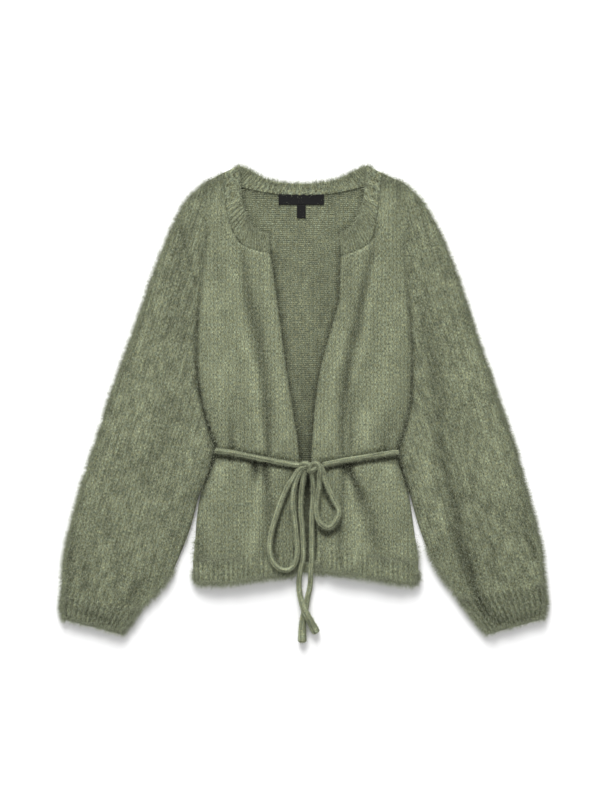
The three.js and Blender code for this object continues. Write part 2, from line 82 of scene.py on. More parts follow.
# Radius of the rounded edge of a sleeve, a panel, a band, the back and a label, and the steps round it
FOLD_RADIUS = 3.4
PANEL_EDGE = 2.2
BAND_EDGE = 1.6
BACK_EDGE = 1.3
LABEL_EDGE = 0.5
EDGE_STEPS = 3

# Faces of each piece across and along, of a band across, of each rib and of the back hem along
BACK_FACES = (100, 150)
FRONT_FACES = (56, 190)
SLEEVE_FACES = (60, 180)
LABEL_FACES = (40, 20)
BAND_FACES = 14
RIB_FACES = 8
HEM_BACK_FACES = 80

# Flat cuts: the back's width and length, and a sleeve's and a cuff's length at its fold and on average
BACK_CUT = (314, 532)
SLEEVE_CUT = 600
SLEEVE_MEAN = 570
CUFF_CUT = 50
CUFF_MEAN = 45

# Ribbed bands
RIB_PITCH = 7
RIB_HEIGHT = 0.55
FRONT_BAND_RIBS = 20
BACK_BAND_RIBS = 36
CUFF_WALL = 2.2

# Stitches: the width of a wale, the height of a row and their depth
WALE = 5.2
COURSE = 2.75
STITCH_DEPTH = 1.0

# Lean of the stitches on the sleeves and the cuffs
SLEEVE_LEAN = 0.29
CUFF_LEAN = 0.5

# Tie: its sides, the length of its steps, and the columns of stitches round it
TIE_SIDES = 12
TIE_STEP = 2.6
TIE_WALES = 5

# How much wider the free ends of the tie grow, and over what length
END_SWELL = 0.62
SWELL_LENGTH = 42

# How far the labels lie above their solids' places, and how much taller the neck label is
LABEL_SHIFT = 1.5
LABEL_GROWTH = 1.5

FrontRow = namedtuple("FrontRow", "side_x side_y open_x open_y")
SleeveRow = namedtuple("SleeveRow", "out_x out_y in_x in_y")
BackRow = namedtuple("BackRow", "y left right")
Point = namedtuple("Point", "x y")
FoldPoint = namedtuple("FoldPoint", "x y half rise")
Corner = namedtuple("Corner", "place texture shade halo")
Fuzz = namedtuple("Fuzz", "count length seed comb", defaults=[(0, -0.3)])


def fold(*points):
    """A fold's points, each from its place on the plan, its half width there and its rise."""
    return [FoldPoint(*point) for point in points]


# Left front, hem seam to shoulder: each row runs from its side or armhole point to its opening point
FRONT_LEFT = [
    FrontRow(-151, -222, -13, -211),
    FrontRow(-148, -192, -11, -186),
    FrontRow(-146, -162, -9, -160),
    FrontRow(-141, -130, -8, -137),
    FrontRow(-131, -102, -7, -118),
    FrontRow(-122, -84, -6, -104),
    FrontRow(-118, -69, -5, -90),
    FrontRow(-121, -55, -6, -76),
    FrontRow(-129, -37, -8, -56),
    FrontRow(-139, -10, -12, -30),
    FrontRow(-144, 22, -17, 2),
    FrontRow(-147, 55, -22, 34),
    FrontRow(-147, 89, -27, 70),
    FrontRow(-145, 117, -32, 108),
    FrontRow(-142, 147, -37, 145),
    FrontRow(-140, 178, -42, 180),
    FrontRow(-138, 200, -45, 201),
    FrontRow(-136, 222, -60, 203),
    FrontRow(-135, 240, -76, 209),
    FrontRow(-134, 254, -89, 221),
    FrontRow(-132, 268, -99, 240),
    FrontRow(-131, 282, -105, 266),
    FrontRow(-130, 297, -109, 311),
]

# Right front, in the same way
FRONT_RIGHT = [
    FrontRow(157, -223, 18, -207),
    FrontRow(153, -192, 18, -183),
    FrontRow(149, -162, 17, -160),
    FrontRow(144, -130, 17, -137),
    FrontRow(137, -102, 15, -118),
    FrontRow(130, -86, 12, -104),
    FrontRow(127, -71, 11, -90),
    FrontRow(131, -57, 11, -76),
    FrontRow(138, -40, 12, -56),
    FrontRow(146, -12, 14, -28),
    FrontRow(149, 20, 17, 4),
    FrontRow(150, 55, 22, 36),
    FrontRow(150, 89, 31, 72),
    FrontRow(148, 115, 40, 104),
    FrontRow(145, 147, 48, 134),
    FrontRow(142, 178, 50, 168),
    FrontRow(140, 200, 51, 199),
    FrontRow(139, 222, 66, 202),
    FrontRow(137, 240, 80, 208),
    FrontRow(136, 254, 91, 219),
    FrontRow(135, 268, 97, 238),
    FrontRow(133, 282, 101, 266),
    FrontRow(132, 297, 106, 311),
]

# The row of each front that ends at the neckband's lower corner
NECK_ROW = 16

# Free edge of each front neckband, one point for each front row from the neck row up
NECK_EDGE_LEFT = [
    Point(-48, 227),
    Point(-62, 231),
    Point(-70, 238),
    Point(-76, 247),
    Point(-80, 259),
    Point(-84, 278),
    Point(-87, 321),
]
NECK_EDGE_RIGHT = [
    Point(50, 229),
    Point(58, 233),
    Point(66, 239),
    Point(73, 249),
    Point(77, 260),
    Point(82, 277),
    Point(86, 321),
]

# Side edges of the back, hem seam to shoulder tip
BACK_SIDES = [
    BackRow(-222, -151, 157),
    BackRow(-192, -148, 153),
    BackRow(-162, -146, 149),
    BackRow(-126, -140, 143),
    BackRow(-98, -129, 136),
    BackRow(-70, -118, 127),
    BackRow(-42, -128, 138),
    BackRow(-12, -139, 146),
    BackRow(22, -144, 149),
    BackRow(55, -147, 150),
    BackRow(89, -147, 150),
    BackRow(158, -141, 144),
    BackRow(228, -136, 138),
    BackRow(297, -130, 132),
]

# Top of the back from shoulder tip to shoulder tip, and the free edge of its neckband
BACK_TOP = [
    Point(-130, 297),
    Point(-109, 309),
    Point(-98, 300),
    Point(-86, 293),
    Point(-64, 287),
    Point(-36, 283),
    Point(0, 281),
    Point(36, 283),
    Point(64, 288),
    Point(85, 294),
    Point(97, 301),
    Point(106, 309),
    Point(132, 297),
]
BACK_NECK_EDGE = [
    Point(-87, 320),
    Point(-78, 317),
    Point(-69, 312),
    Point(-53, 303),
    Point(-33, 298),
    Point(0, 296),
    Point(33, 299),
    Point(53, 305),
    Point(69, 313),
    Point(78, 318),
    Point(86, 320),
]

# Lower edges of the hem bands
HEM_LEFT = [
    Point(-150, -247),
    Point(-144, -252),
    Point(-101, -251),
    Point(-46, -243),
    Point(-13, -240),
]
HEM_RIGHT = [
    Point(18, -236),
    Point(38, -235),
    Point(64, -240),
    Point(114, -248),
    Point(149, -253),
    Point(157, -247),
]
HEM_BACK = [
    Point(-149, -244),
    Point(-80, -244),
    Point(0, -236),
    Point(80, -240),
    Point(156, -244),
]

# Sleeves, armhole to cuff seam: each section runs from the outer fold to the inner fold
SLEEVE_LEFT = [
    SleeveRow(-131, 299, -148, 88),
    SleeveRow(-143, 289, -149, 74),
    SleeveRow(-158, 275, -149, 58),
    SleeveRow(-178, 238, -146.5, 26),
    SleeveRow(-199, 188, -140.8, -9),
    SleeveRow(-218, 134, -131, -37),
    SleeveRow(-237, 80, -122.2, -62),
    SleeveRow(-250, 44, -124.4, -82),
    SleeveRow(-264, 4, -132.5, -103),
    SleeveRow(-284, -58, -143.6, -133),
    SleeveRow(-302, -114, -154, -172),
    SleeveRow(-317, -168, -167, -207),
    SleeveRow(-326, -208, -182, -239),
    SleeveRow(-329, -243, -203, -266),
    SleeveRow(-330, -268, -223, -284),
]
SLEEVE_RIGHT = [
    SleeveRow(133, 299, 151, 88),
    SleeveRow(145, 289, 152, 74),
    SleeveRow(160, 273, 153, 58),
    SleeveRow(181, 238, 151.5, 26),
    SleeveRow(203, 188, 147.6, -11),
    SleeveRow(221, 134, 140, -40),
    SleeveRow(239, 80, 131, -64),
    SleeveRow(252, 44, 132.8, -84),
    SleeveRow(265, 4, 138.8, -103),
    SleeveRow(286, -58, 146.5, -133),
    SleeveRow(302, -114, 157, -170),
    SleeveRow(317, -168, 169, -202),
    SleeveRow(326, -212, 188, -238),
    SleeveRow(329, -252, 213, -271),
]

# Cuffs, seam to open end, in the same way
CUFF_LEFT = [
    SleeveRow(-330, -267.6, -223, -283.6),
    SleeveRow(-331, -287, -235, -302),
    SleeveRow(-327, -300, -249, -320),
]
CUFF_RIGHT = [
    SleeveRow(329, -251.6, 213, -270.6),
    SleeveRow(331, -279, 231, -295),
    SleeveRow(327, -299, 252, -320),
]

# Folds, each a soft ridge along a few plan points, or a trough where the rise is negative
LEFT_FOLDS = [
    fold(
        (-90, 231, 5, -1.0), (-81, 188, 7, -2.2), (-75, 139, 8, -2.8), (-64, 96, 9, -3.4),
        (-58, 54, 9, -3.6), (-51, 10, 8, -3.4), (-49, -37, 6, -3.6), (-47, -72, 5, -3.2),
    ),
    fold(
        (-98, 200, 10, 1.0), (-94, 139, 11, 1.6), (-79, 78, 10, 2.2), (-67, 30, 8, 2.4),
        (-61, -28, 7, 2.2), (-58, -66, 6, 1.6),
    ),
    fold((-101, -22, 4, -0.6), (-99, -44, 5, -2.6), (-97, -66, 5, -4.0)),
    fold(
        (-50, 200, 8, 1.4), (-47, 139, 8, 1.3), (-40, 80, 7, 1.1), (-30, 17, 7, 1.8), (-24, -50, 7, 1.2),
    ),
    fold((-122, 140, 16, 0.8), (-112, 20, 18, 1.6), (-113, -40, 8, 0.8)),
    fold((-99, -75, 4, -4.5), (-99, -85, 3.5, -1.5)),
    fold((-69, -80, 5, -4.6), (-65, -94, 6, -6.2), (-66, -114, 4, -1.5)),
    fold(
        (-53, -84, 5, -4.6), (-51, -106, 5, -5.5), (-48, -124, 6, -3.2), (-46, -150, 8, -2.6),
        (-49, -184, 7, -1.4), (-52, -215, 6, -1.0),
    ),
    fold(
        (-58, -108, 4, 1.6), (-61, -134, 6, 2.4), (-62, -165, 7, 2.6), (-67, -186, 8, 2.2),
        (-72, -214, 9, 1.4),
    ),
    fold((-143, -186, 8, -1.6), (-139, -214, 10, -2.2)),
    fold((-114, -98, 10, 1.6), (-112, -130, 14, 1.0)),
    # The trough under the left bow's outer strand, which darkens the colour there as the bow's painted shadow
    fold((-22, -126, 3, -3.0), (-35, -165, 3, -3.5), (-41, -200, 3, -4.0), (-36, -220, 3, -4.0)),
]
RIGHT_FOLDS = [
    fold(
        (100, 236, 5, -1.4), (94, 200, 6, -2.6), (88, 170, 7, -3.2), (80, 132, 7, -3.6),
        (76, 103, 8, -3.8), (67, 69, 8, -3.8), (61, 39, 7, -3.8), (56, 2, 6, -3.8), (53, -28, 5, -3.6),
        (54, -73, 4, -3.0),
    ),
    fold((66, 4, 4, -1.6), (65, -28, 4, -2.6), (64, -72, 4, -2.4)),
    fold((98, 178, 7, 1.4), (88, 127, 8, 1.8), (79, 66, 9, 2.0), (69, 28, 6, 1.6)),
    fold((64, 190, 6, -0.8), (62, 172, 6, -1.4), (58, 140, 8, -0.6)),
    fold((60, 100, 6, 1.0), (46, 50, 7, 1.6), (36, 0, 7, 1.6), (33, -60, 7, 1.2)),
    fold((122, 110, 16, 0.9), (112, 10, 18, 1.4)),
    fold((120, -20, 9, -0.8), (112, -50, 8, -1.8), (111, -70, 6, -2.0)),
    fold((86, -24, 8, 1.6), (84, -62, 8, 1.6)),
    fold((109, -74, 6, -2.6), (109, -84, 4, -1.0)),
    fold(
        (64, -86, 4.5, -4.6), (64, -100, 6, -5.6), (71, -114, 6, -5.2), (77, -128, 7, -4.4),
        (84, -146, 8, -2.8), (92, -165, 9, -2.4), (96, -186, 9, -2.6), (104, -208, 8, -2.2),
        (112, -226, 6, -1.0),
    ),
    fold(
        (56, -86, 4.5, -4.0), (55, -97, 5, -4.2), (54, -110, 4, -2.6), (52, -138, 4, -2.4),
        (50, -165, 5, -2.2), (50, -200, 4, -2.2), (51, -226, 3, -1.8),
    ),
    fold(
        (62, -112, 4, 1.6), (66, -148, 7, 2.2), (73, -176, 8, 2.2), (75, -206, 9, 2.2),
        (72, -226, 8, 1.4),
    ),
    fold((118, -98, 10, 1.8), (116, -132, 15, 1.4)),
    # Troughs beside the small bow's strands, which darken the colour there as the bow's painted shadow
    fold((21, -176, 6, -5.0), (31, -183, 5, -5.0), (46, -176, 5, -3.0)),
    fold((27, -114, 3, -5.0), (33, -131, 5, -4.5), (41, -148, 3, -4.0)),
]
LEFT_SLEEVE_FOLDS = [
    fold((-162, 244, 12, -0.8), (-166, 170, 15, -1.6), (-170, 84, 15, -1.2)),
    fold((-171, 244, 1.8, -0.6), (-160, 204, 1.8, -1.4), (-146, 156, 1.8, -1.6)),
    fold((-190, 60, 20, 0.8), (-226, -60, 22, 1.2)),
    fold((-182, -10, 10, -0.7), (-206, -90, 12, -1.2), (-214, -130, 10, -0.6)),
    fold((-150, -60, 12, 1.4), (-158, -120, 12, 1.2)),
    fold((-318, -190, 8, -1.0), (-321, -240, 8, -2.2), (-318, -262, 7, -1.0)),
    fold((-216, -244, 7, -1.2), (-232, -268, 9, -2.8), (-244, -284, 8, -2.0)),
    fold((-250, -226, 6, -0.8), (-258, -262, 6, -1.2)),
    fold((-272, -200, 10, 1.2), (-276, -262, 10, 1.2)),
    fold((-296, -222, 6, -0.6), (-300, -262, 6, -1.2)),
]
RIGHT_SLEEVE_FOLDS = [
    fold(
        (164, 150, 8, -0.8), (169, 87, 10, -2.0), (178, 41, 10, -2.4), (187, 0, 9, -3.0),
        (186, -24, 10, -3.0), (188, -64, 9, -2.6), (196, -105, 10, -3.0), (207, -142, 10, -3.4),
        (211, -178, 10, -3.8), (218, -210, 9, -4.4), (227, -235, 9, -5.0), (236, -263, 9, -5.0),
    ),
    fold((150, -20, 10, 1.2), (168, -110, 13, 2.0), (186, -172, 11, 1.4)),
    fold((222, 60, 20, 1.0), (246, -40, 22, 1.6), (266, -130, 20, 1.4)),
    fold((302, -150, 6, -0.8), (305, -180, 6, -2.2), (316, -216, 6, -2.8)),
    fold((262, -205, 8, -0.9), (258, -238, 7, -1.4)),
    fold((282, -196, 10, 1.0), (284, -240, 9, 1.0)),
]
LEFT_CUFF_FOLDS = [
    fold((-296, -292, 7, -1.6), (-272, -301, 7, -2.6), (-256, -306, 6, -1.6)),
]
RIGHT_CUFF_FOLDS = [
    fold((238, -268, 9, -4.4), (247, -288, 9, -4.2), (262, -303, 7, -2.8)),
    fold((264, -302, 6, -2.0), (292, -302, 5, -1.8), (312, -296, 5, -0.8)),
]

# The valley between each side of the body and its sleeve, from where it starts below the shoulder. It lowers
# the cloth only near the armhole, and darkens the colour along its whole length as a painted shadow
LEFT_SIDE_VALLEY = fold(
    (-131, 246, 2.2, -0.2), (-133, 222, 3.7, -1.6), (-137, 185, 3.7, -2.2), (-143, 124, 3.7, -2.8),
    (-148, 85, 3.7, -4.2), (-147, 48, 3.7, -5.0), (-143, 18, 4.4, -5.6), (-137, -10, 4.4, -6.0),
    (-129, -38, 4.4, -6.0), (-120, -66, 5.2, -6.0), (-126, -92, 4.2, -6.0), (-139, -129, 3.4, -6.0),
    (-145, -146, 2.6, -4.0),
)
RIGHT_SIDE_VALLEY = fold(
    (136, 222, 3.0, -0.2), (139.5, 178, 3.0, -1.2), (142.5, 147, 3.0, -2.2), (147, 109, 3.0, -3.4),
    (148.5, 55, 3.7, -4.4), (147.5, 10, 3.7, -5.4), (144, -18, 4.4, -5.8), (137, -44, 4.4, -6.0),
    (129, -69, 5.2, -6.0), (134, -92, 4.2, -6.0), (144, -125, 3.4, -6.0), (147, -138, 2.6, -4.0),
)

# The tie's middle line: two stretches from the side seams to the knot, two bows and two free ends
TIE_ROUTES = {
    "tie_stretch_left": [
        (-121.5, -69, 9.7), (-115, -69.5, 9.9), (-107, -70.5, 9.9), (-92, -73, 9.9), (-68, -78, 9.9),
        (-45, -82.5, 9.9), (-20, -87, 11), (-3.4, -89, 13.5),
    ],
    "tie_stretch_right": [
        (130.5, -71.5, 9.7), (124, -72, 9.9), (115, -73, 9.9), (103, -75, 9.9), (80, -78.5, 9.9),
        (55, -82.5, 9.9), (38, -86, 11.2), (26.4, -88, 13.5),
    ],
    "tie_bow_left": [
        (-5.5, -93.5, 13.5), (-13, -105, 12.6), (-21, -117, 12.8), (-30, -137, 14), (-39, -164, 14.6),
        (-44.5, -185, 14.7), (-46, -205, 14.8), (-43, -219, 15), (-33, -230, 14.2), (-22, -232, 12.4),
        (-13, -225, 11), (-8.5, -208, 10.6), (-9.5, -190, 10.5), (-12, -165, 10.9), (-15, -137, 11.2),
        (-11.5, -115, 11.6), (-5, -99, 12.6), (-1, -93, 13),
    ],
    "tie_bow_right": [
        (21.6, -99, 15), (21.6, -108, 12.8), (21.6, -116, 11.8), (19, -135, 11), (18, -154, 10.8),
        (23, -168, 11.4), (34, -173.5, 13), (44, -165, 14.4), (47.9, -151, 15), (40.5, -135, 14.5),
        (33, -118, 13.8), (27, -103, 13.8), (24, -95, 15),
    ],
    "tie_end_left": [
        (3, -93, 13), (0, -105, 11), (-2.4, -122, 8.4), (-3.6, -153, 6.8), (-1.5, -177, 6.8),
        (-0.5, -201, 6.8), (-0.5, -216, 6.8), (-3.5, -228, 7), (-4.8, -238, 7), (-6, -246, 5.3),
        (-6.3, -254, 4), (-5, -265, 5.4), (-3.2, -273, 8), (-1, -280, 10.8), (1.5, -287, 12.2),
        (4.7, -293, 11.8), (8.3, -300, 9), (13, -309.5, 4.8), (18.5, -319, 3.8),
    ],
    "tie_end_right": [
        (10, -93, 13), (12.5, -106, 11), (13.6, -124, 7.6), (13.2, -137, 6.8), (11.6, -161, 6.8),
        (11.6, -185, 6.8), (11.5, -201, 6.8), (11.5, -216, 6.8), (10.5, -229, 7), (10, -238, 7),
        (9.6, -246, 5.3), (9, -254, 3.9), (7.5, -262, 3.8), (4.8, -273.5, 3.8), (2.4, -287, 3.8),
        (-0.3, -299.5, 3.8), (-1.6, -316.5, 3.8), (-1.6, -332, 3.8),
    ],
}

# Strands of the knot: two wraps over the crossing and three turns that lead into the bows
KNOT_ROUTES = [
    [(-5, -90, 13), (-1, -87, 15.5), (4, -86.5, 17), (8, -89, 17.5), (9, -93, 16), (5, -95.5, 14)],
    [(4, -95, 13.5), (9, -96, 15.5), (14, -95, 16.5), (18, -91, 16), (24, -88, 14)],
    [
        (11, -89, 15), (14.5, -86.5, 17), (19, -87, 18.5), (22, -91.5, 18), (22.5, -98, 16.5),
        (21.4, -106, 14.2),
    ],
    [(-9, -98.5, 12.5), (-4, -93, 14), (1, -91, 15), (6, -91.5, 15)],
    [(28, -105, 13.4), (26, -97, 15), (22.5, -91, 15.5), (18, -88.5, 15)],
]

# Painted shade on the back beside the fronts' and their neckbands' free edges, below its own neckband, down
# the opening and between the tie's ends. Only the colour darkens: the back's height doesn't follow it
BACK_SHADOWS = [
    [FoldPoint(row.open_x, row.open_y, 6, -4) for row in FRONT_LEFT[: NECK_ROW + 1]],
    [FoldPoint(row.open_x, row.open_y, 6, -4) for row in FRONT_RIGHT[: NECK_ROW + 1]],
    [FoldPoint(point.x, point.y, 5, -3) for point in NECK_EDGE_LEFT],
    [FoldPoint(point.x, point.y, 5, -3) for point in NECK_EDGE_RIGHT],
    [FoldPoint(point.x, point.y - 2, 7, -2.4) for point in BACK_TOP[2:-2]],
    fold((4, 60, 14, -0.6), (3, 0, 12, -2.2), (2, -80, 8, -3.0)),
    fold((5, -100, 8, -6.0), (5, -150, 7, -5.0), (5, -230, 6, -4.0)),
    fold((20, 200, 12, -0.2), (26, 120, 14, -1.4), (16, 60, 10, -0.8)),
]

# How far the back's sides lie inside the fronts'
BACK_INSET = 2

# How far the front laps over its sleeve at the armhole, and the sleeve under the body's side
ARMHOLE_LAP = 4
SIDE_LAP = 7

# Where on the plan the front's lap begins, and how much higher it is whole
ARMHOLE_START = 70
ARMHOLE_GROWTH = 40

# The front beside the armhole: how high it lies, how wide that is, and how far it drops over the sleeve
ARMHOLE_HEIGHT = 6.9
ARMHOLE_WIDTH = 22
ARMHOLE_DROP = 2.2

# How far from the tie the fronts are pressed down
TIE_GROOVE = 13

# How far a ribbed band laps over the panel at its seam, and the rise of the seam over the panel
SEAM_LAP = 1.8
SEAM_RISE = 0.9

# Painted shade: how fast it deepens with a fold, and the share of colour left in the deepest folds
# and on turned edges
FOLD_SHADE = 0.135
DEEPEST_SHADE = 0.17
EDGE_SHADE = 0.58

# Share of the colour on the edges that stand free: a painted highlight, where light catches the nap
FREE_EDGE_SHADE = 1.55

# Loose fibres: how thick they stand inside a piece, against its edges, and how wide the edge is
INNER_HALO = 0.05
HALO_WIDTH = 3.2

# How far down a face may look and still hold fibres
FIBRE_FACING = -0.1

# Fibres of each piece: their number, their length as a share of the usual one, their seed and their combing
FUZZ = {
    "back": Fuzz(5000, 0.4, 11),
    "front_left": Fuzz(6000, 1, 21),
    "front_right": Fuzz(6000, 1, 24),
    "sleeve_left": Fuzz(14000, 1, 31),
    "sleeve_right": Fuzz(14000, 1, 34),
    "cuff_left": Fuzz(3600, 1, 41),
    "cuff_right": Fuzz(3600, 1, 44),
    "hem_left": Fuzz(3200, 1, 51),
    "hem_right": Fuzz(3200, 1, 54),
    "hem_back": Fuzz(2400, 1, 57),
    "neckband_left": Fuzz(700, 1, 61),
    "neckband_right": Fuzz(700, 1, 64),
    "neckband_back": Fuzz(1800, 0.8, 67, (0, 0.5)),
    "tie_stretch_left": Fuzz(900, 0.36, 71),
    "tie_stretch_right": Fuzz(900, 0.36, 74),
    "tie_bow_left": Fuzz(900, 0.36, 77),
    "tie_bow_right": Fuzz(900, 0.36, 80),
    "tie_end_left": Fuzz(900, 0.36, 83),
    "tie_end_right": Fuzz(900, 0.36, 86),
    "tie_knot": Fuzz(300, 0.36, 91),
}

# Stage, in metres: the floor, the lamp beyond the neck, the sky's strength and the camera
FLOOR_HALF = 6
FLOOR_LEVEL = -0.0003
LAMP_PLACE = (-0.8, 5.6, 3.5)
LAMP_SIZE = 3.6
LAMP_ENERGY = 620
SKY = 0.61
CAMERA_PLACE = (0.0007, -0.0069, 2.5)
CAMERA_LENS = 81.1


def smooth(value):
    t = min(max(value, 0), 1)
    return t * t * (3 - 2 * t)


def between(a, b, share):
    return a + (b - a) * share


def curve_point(rows, share, corner=None):
    """The row at a share of the way along a table, on a smooth curve that may turn sharply at one row."""
    place = min(max(share, 0), 1) * (len(rows) - 1)
    index = min(int(place), len(rows) - 2)
    first, last = 0, len(rows) - 1
    if corner is not None and index >= corner:
        first = corner
    elif corner is not None:
        last = corner
    b, c = Vector(rows[index]), Vector(rows[index + 1])
    a = Vector(rows[index - 1]) if index > first else 2 * b - c
    d = Vector(rows[index + 2]) if index + 2 <= last else 2 * c - b
    t_b = (b - a).length ** 0.5
    t_c = t_b + (c - b).length ** 0.5
    t_d = t_c + (d - c).length ** 0.5
    t = between(t_b, t_c, place - index)
    ab, bc, cd = a.lerp(b, t / t_b), b.lerp(c, (t - t_b) / (t_c - t_b)), c.lerp(d, (t - t_c) / (t_d - t_c))
    return ab.lerp(bc, t / t_c).lerp(bc.lerp(cd, (t - t_b) / (t_d - t_b)), (t - t_b) / (t_c - t_b))


def edge_steps(count, length, radius):
    """Distances from 0 to a length, even but for the first and last few, which follow a rounded edge."""
    if radius == 0:
        return [length * step / count for step in range(count + 1)]
    distances = []
    for step in range(count + 1):
        inner = min(step, count - step)
        if inner < EDGE_STEPS:
            inset = radius * (1 - math.cos(math.pi / 2 * inner / EDGE_STEPS))
            distances.append(inset if step == inner else length - inset)
        else:
            share = (step - EDGE_STEPS) / (count - 2 * EDGE_STEPS)
            distances.append(between(radius, length - radius, share))
    return distances


def fold_height(folds, point):
    """Height of some folds at a plan point, each falling off to its sides and past its ends."""
    height = 0
    for route in folds:
        nearest, half, rise = 1e9, 1, 0
        for a, b in zip(route, route[1:]):
            start = Vector((a.x, a.y))
            along = Vector((b.x - a.x, b.y - a.y))
            share = min(max((point - start).dot(along) / along.length_squared, 0), 1)
            distance = (point - start - share * along).length
            if distance < nearest:
                nearest, half, rise = distance, between(a.half, b.half, share), between(a.rise, b.rise, share)
        height += rise * math.exp(-((nearest / half) ** 2))
    return height


def tie_line(x):
    """How high on the plan the tie crosses the fronts at a place across them."""
    return -90 + 0.16 * max(abs(x - 10) - 12, 0)


def tie_shade(point):
    """Share of the colour left beside the tie: a painted shadow, deepest just below it."""
    above = point.y - tie_line(point.x)
    return 1 - 0.66 * math.exp(-(((above + 5.8) / 3.2) ** 2)) - 0.32 * math.exp(-(((above - 5) / 3) ** 2))


def lumps(point, size, seed):
    """Uneven rises and dips of about one unit, of a given size across."""
    return noise.noise(Vector((point.x / size, point.y / size, seed)))


def add_grid(mesh, columns, rows, corner_at):
    """Adds a grid of faces, with the corner that is given for each column and row."""
    texture = mesh.loops.layers.uv.get("knit") or mesh.loops.layers.uv.new("knit")
    # Painted shade and painted light, as a share of the colour at each corner
    shade = mesh.verts.layers.float.get("shade") or mesh.verts.layers.float.new("shade")
    halo = mesh.verts.layers.float.get("halo") or mesh.verts.layers.float.new("halo")
    verts = bmesh.ops.create_grid(mesh, x_segments=columns, y_segments=rows, size=1)["verts"]
    texture_places = {}
    for vert in verts:
        column = round((vert.co.x + 1) / 2 * columns)
        row = round((vert.co.y + 1) / 2 * rows)
        vert.co, texture_places[vert], vert[shade], vert[halo] = corner_at(column, row)
    for face in {face for vert in verts for face in vert.link_faces}:
        for loop in face.loops:
            loop[texture].uv = texture_places[loop.vert]


def weld(mesh):
    """Joins the layers of a body along their edges and turns its faces outwards."""
    bmesh.ops.remove_doubles(mesh, verts=mesh.verts, dist=0.0005)
    bmesh.ops.recalc_face_normals(mesh, faces=mesh.faces)
    if mesh.calc_volume(signed=True) < 0:
        bmesh.ops.reverse_faces(mesh, faces=mesh.faces)


def fold_shade(relief):
    """Share of colour: painted shade where cloth lies lower than around it, painted light where higher."""
    return min(max(1 + FOLD_SHADE * relief, DEEPEST_SHADE), 1.25)


def cloth_body(plan, heights, faces, edge, grain, loose, closed=True):
    """A cloth body of two layers over a plan, which meet in a rounded edge.

    faces gives the number of faces across and along. plan gives the plan point at a share across and along,
    and loose how thick fibres stand on the edge there, and how far its painted shade turns to a painted
    highlight. heights gives the lower and upper height and the painted shade at a point, its inset from the
    sides and the share along. grain gives the texture place at a point.
    """
    columns, rows = faces
    length = (plan(0.5, 1) - plan(0.5, 0)).length
    places = []
    for down in edge_steps(rows, length, edge if closed else 0):
        along = down / length
        width = (plan(1, along) - plan(0, along)).length
        section = []
        for across in edge_steps(columns, width, edge):
            point = plan(across / width, along)
            inset = min(across, width - across)
            low, high, shade = heights(point, inset, along)
            rim = min(inset, down, length - down) if closed else inset
            round_share = math.sqrt(max(0, 1 - (1 - min(rim / edge, 1)) ** 2))
            near_edge = math.exp(-((min(inset, down, length - down) / HALO_WIDTH) ** 2))
            edge_halo = loose(across / width, along)
            halo = between(INNER_HALO, edge_halo, near_edge)
            # Painted shade on turned edges, and a painted highlight on edges that stand free, by how loose
            # the edge is
            edge_shade = between(EDGE_SHADE, FREE_EDGE_SHADE, edge_halo)
            shade *= between(edge_shade, 1, smooth(inset / edge / 1.5))
            section.append((point, low, high, round_share, grain(point, across, down), shade, halo))
        places.append(section)
    mesh = bmesh.new()
    for side in (1, -1):

        def corner_at(column, row):
            point, low, high, round_share, texture, shade, halo = places[row][column]
            height = (low + high) / 2 + side * round_share * (high - low) / 2
            return Corner(Vector((point.x, point.y, height)), texture, shade, halo)

        add_grid(mesh, columns, rows, corner_at)
    weld(mesh)
    return mesh


def finished(name, mesh, material, slot, *nodes):
    """Turns a mesh in millimetres into a smooth object in metres that stands for some CAD nodes."""
    bmesh.ops.scale(mesh, vec=(MM, MM, MM), verts=mesh.verts)
    data = bpy.data.meshes.new(name)
    mesh.to_mesh(data)
    mesh.free()
    data.shade_smooth()
    data.materials.append(material)
    obj = bpy.data.objects.new(name, data)
    bpy.context.scene.collection.objects.link(obj)
    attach(obj, "root")
    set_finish(obj, slot)
    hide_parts(*nodes)
    return obj


def straight_grain(angle=0):
    """Stitches in straight wales at an angle to the garment's length."""
    turn = (math.cos(angle), math.sin(angle))

    def texture_place(point, across, down):
        return point.x * turn[0] + point.y * turn[1], point.y * turn[0] - point.x * turn[1]

    return texture_place


def band_grain(point, across, down):
    """Stitches whose wales run across a band, from its seam to its edge."""
    return down, across


def front_row(rows, along):
    """A front's row at a share along it, and how far it laps over its sleeve there."""
    row = FrontRow(*curve_point(rows, along, NECK_ROW))
    return row, ARMHOLE_LAP * smooth((row.side_y - ARMHOLE_START) / ARMHOLE_GROWTH)


def front_plan(rows, outward):
    """A front, which laps over its sleeve along the armhole. outward is -1 on the left and 1 on the right."""

    def plan(across, along):
        row, lap = front_row(rows, along)
        side = Vector((row.side_x + outward * lap, row.side_y))
        return side.lerp(Vector((row.open_x, row.open_y)), across)

    return plan


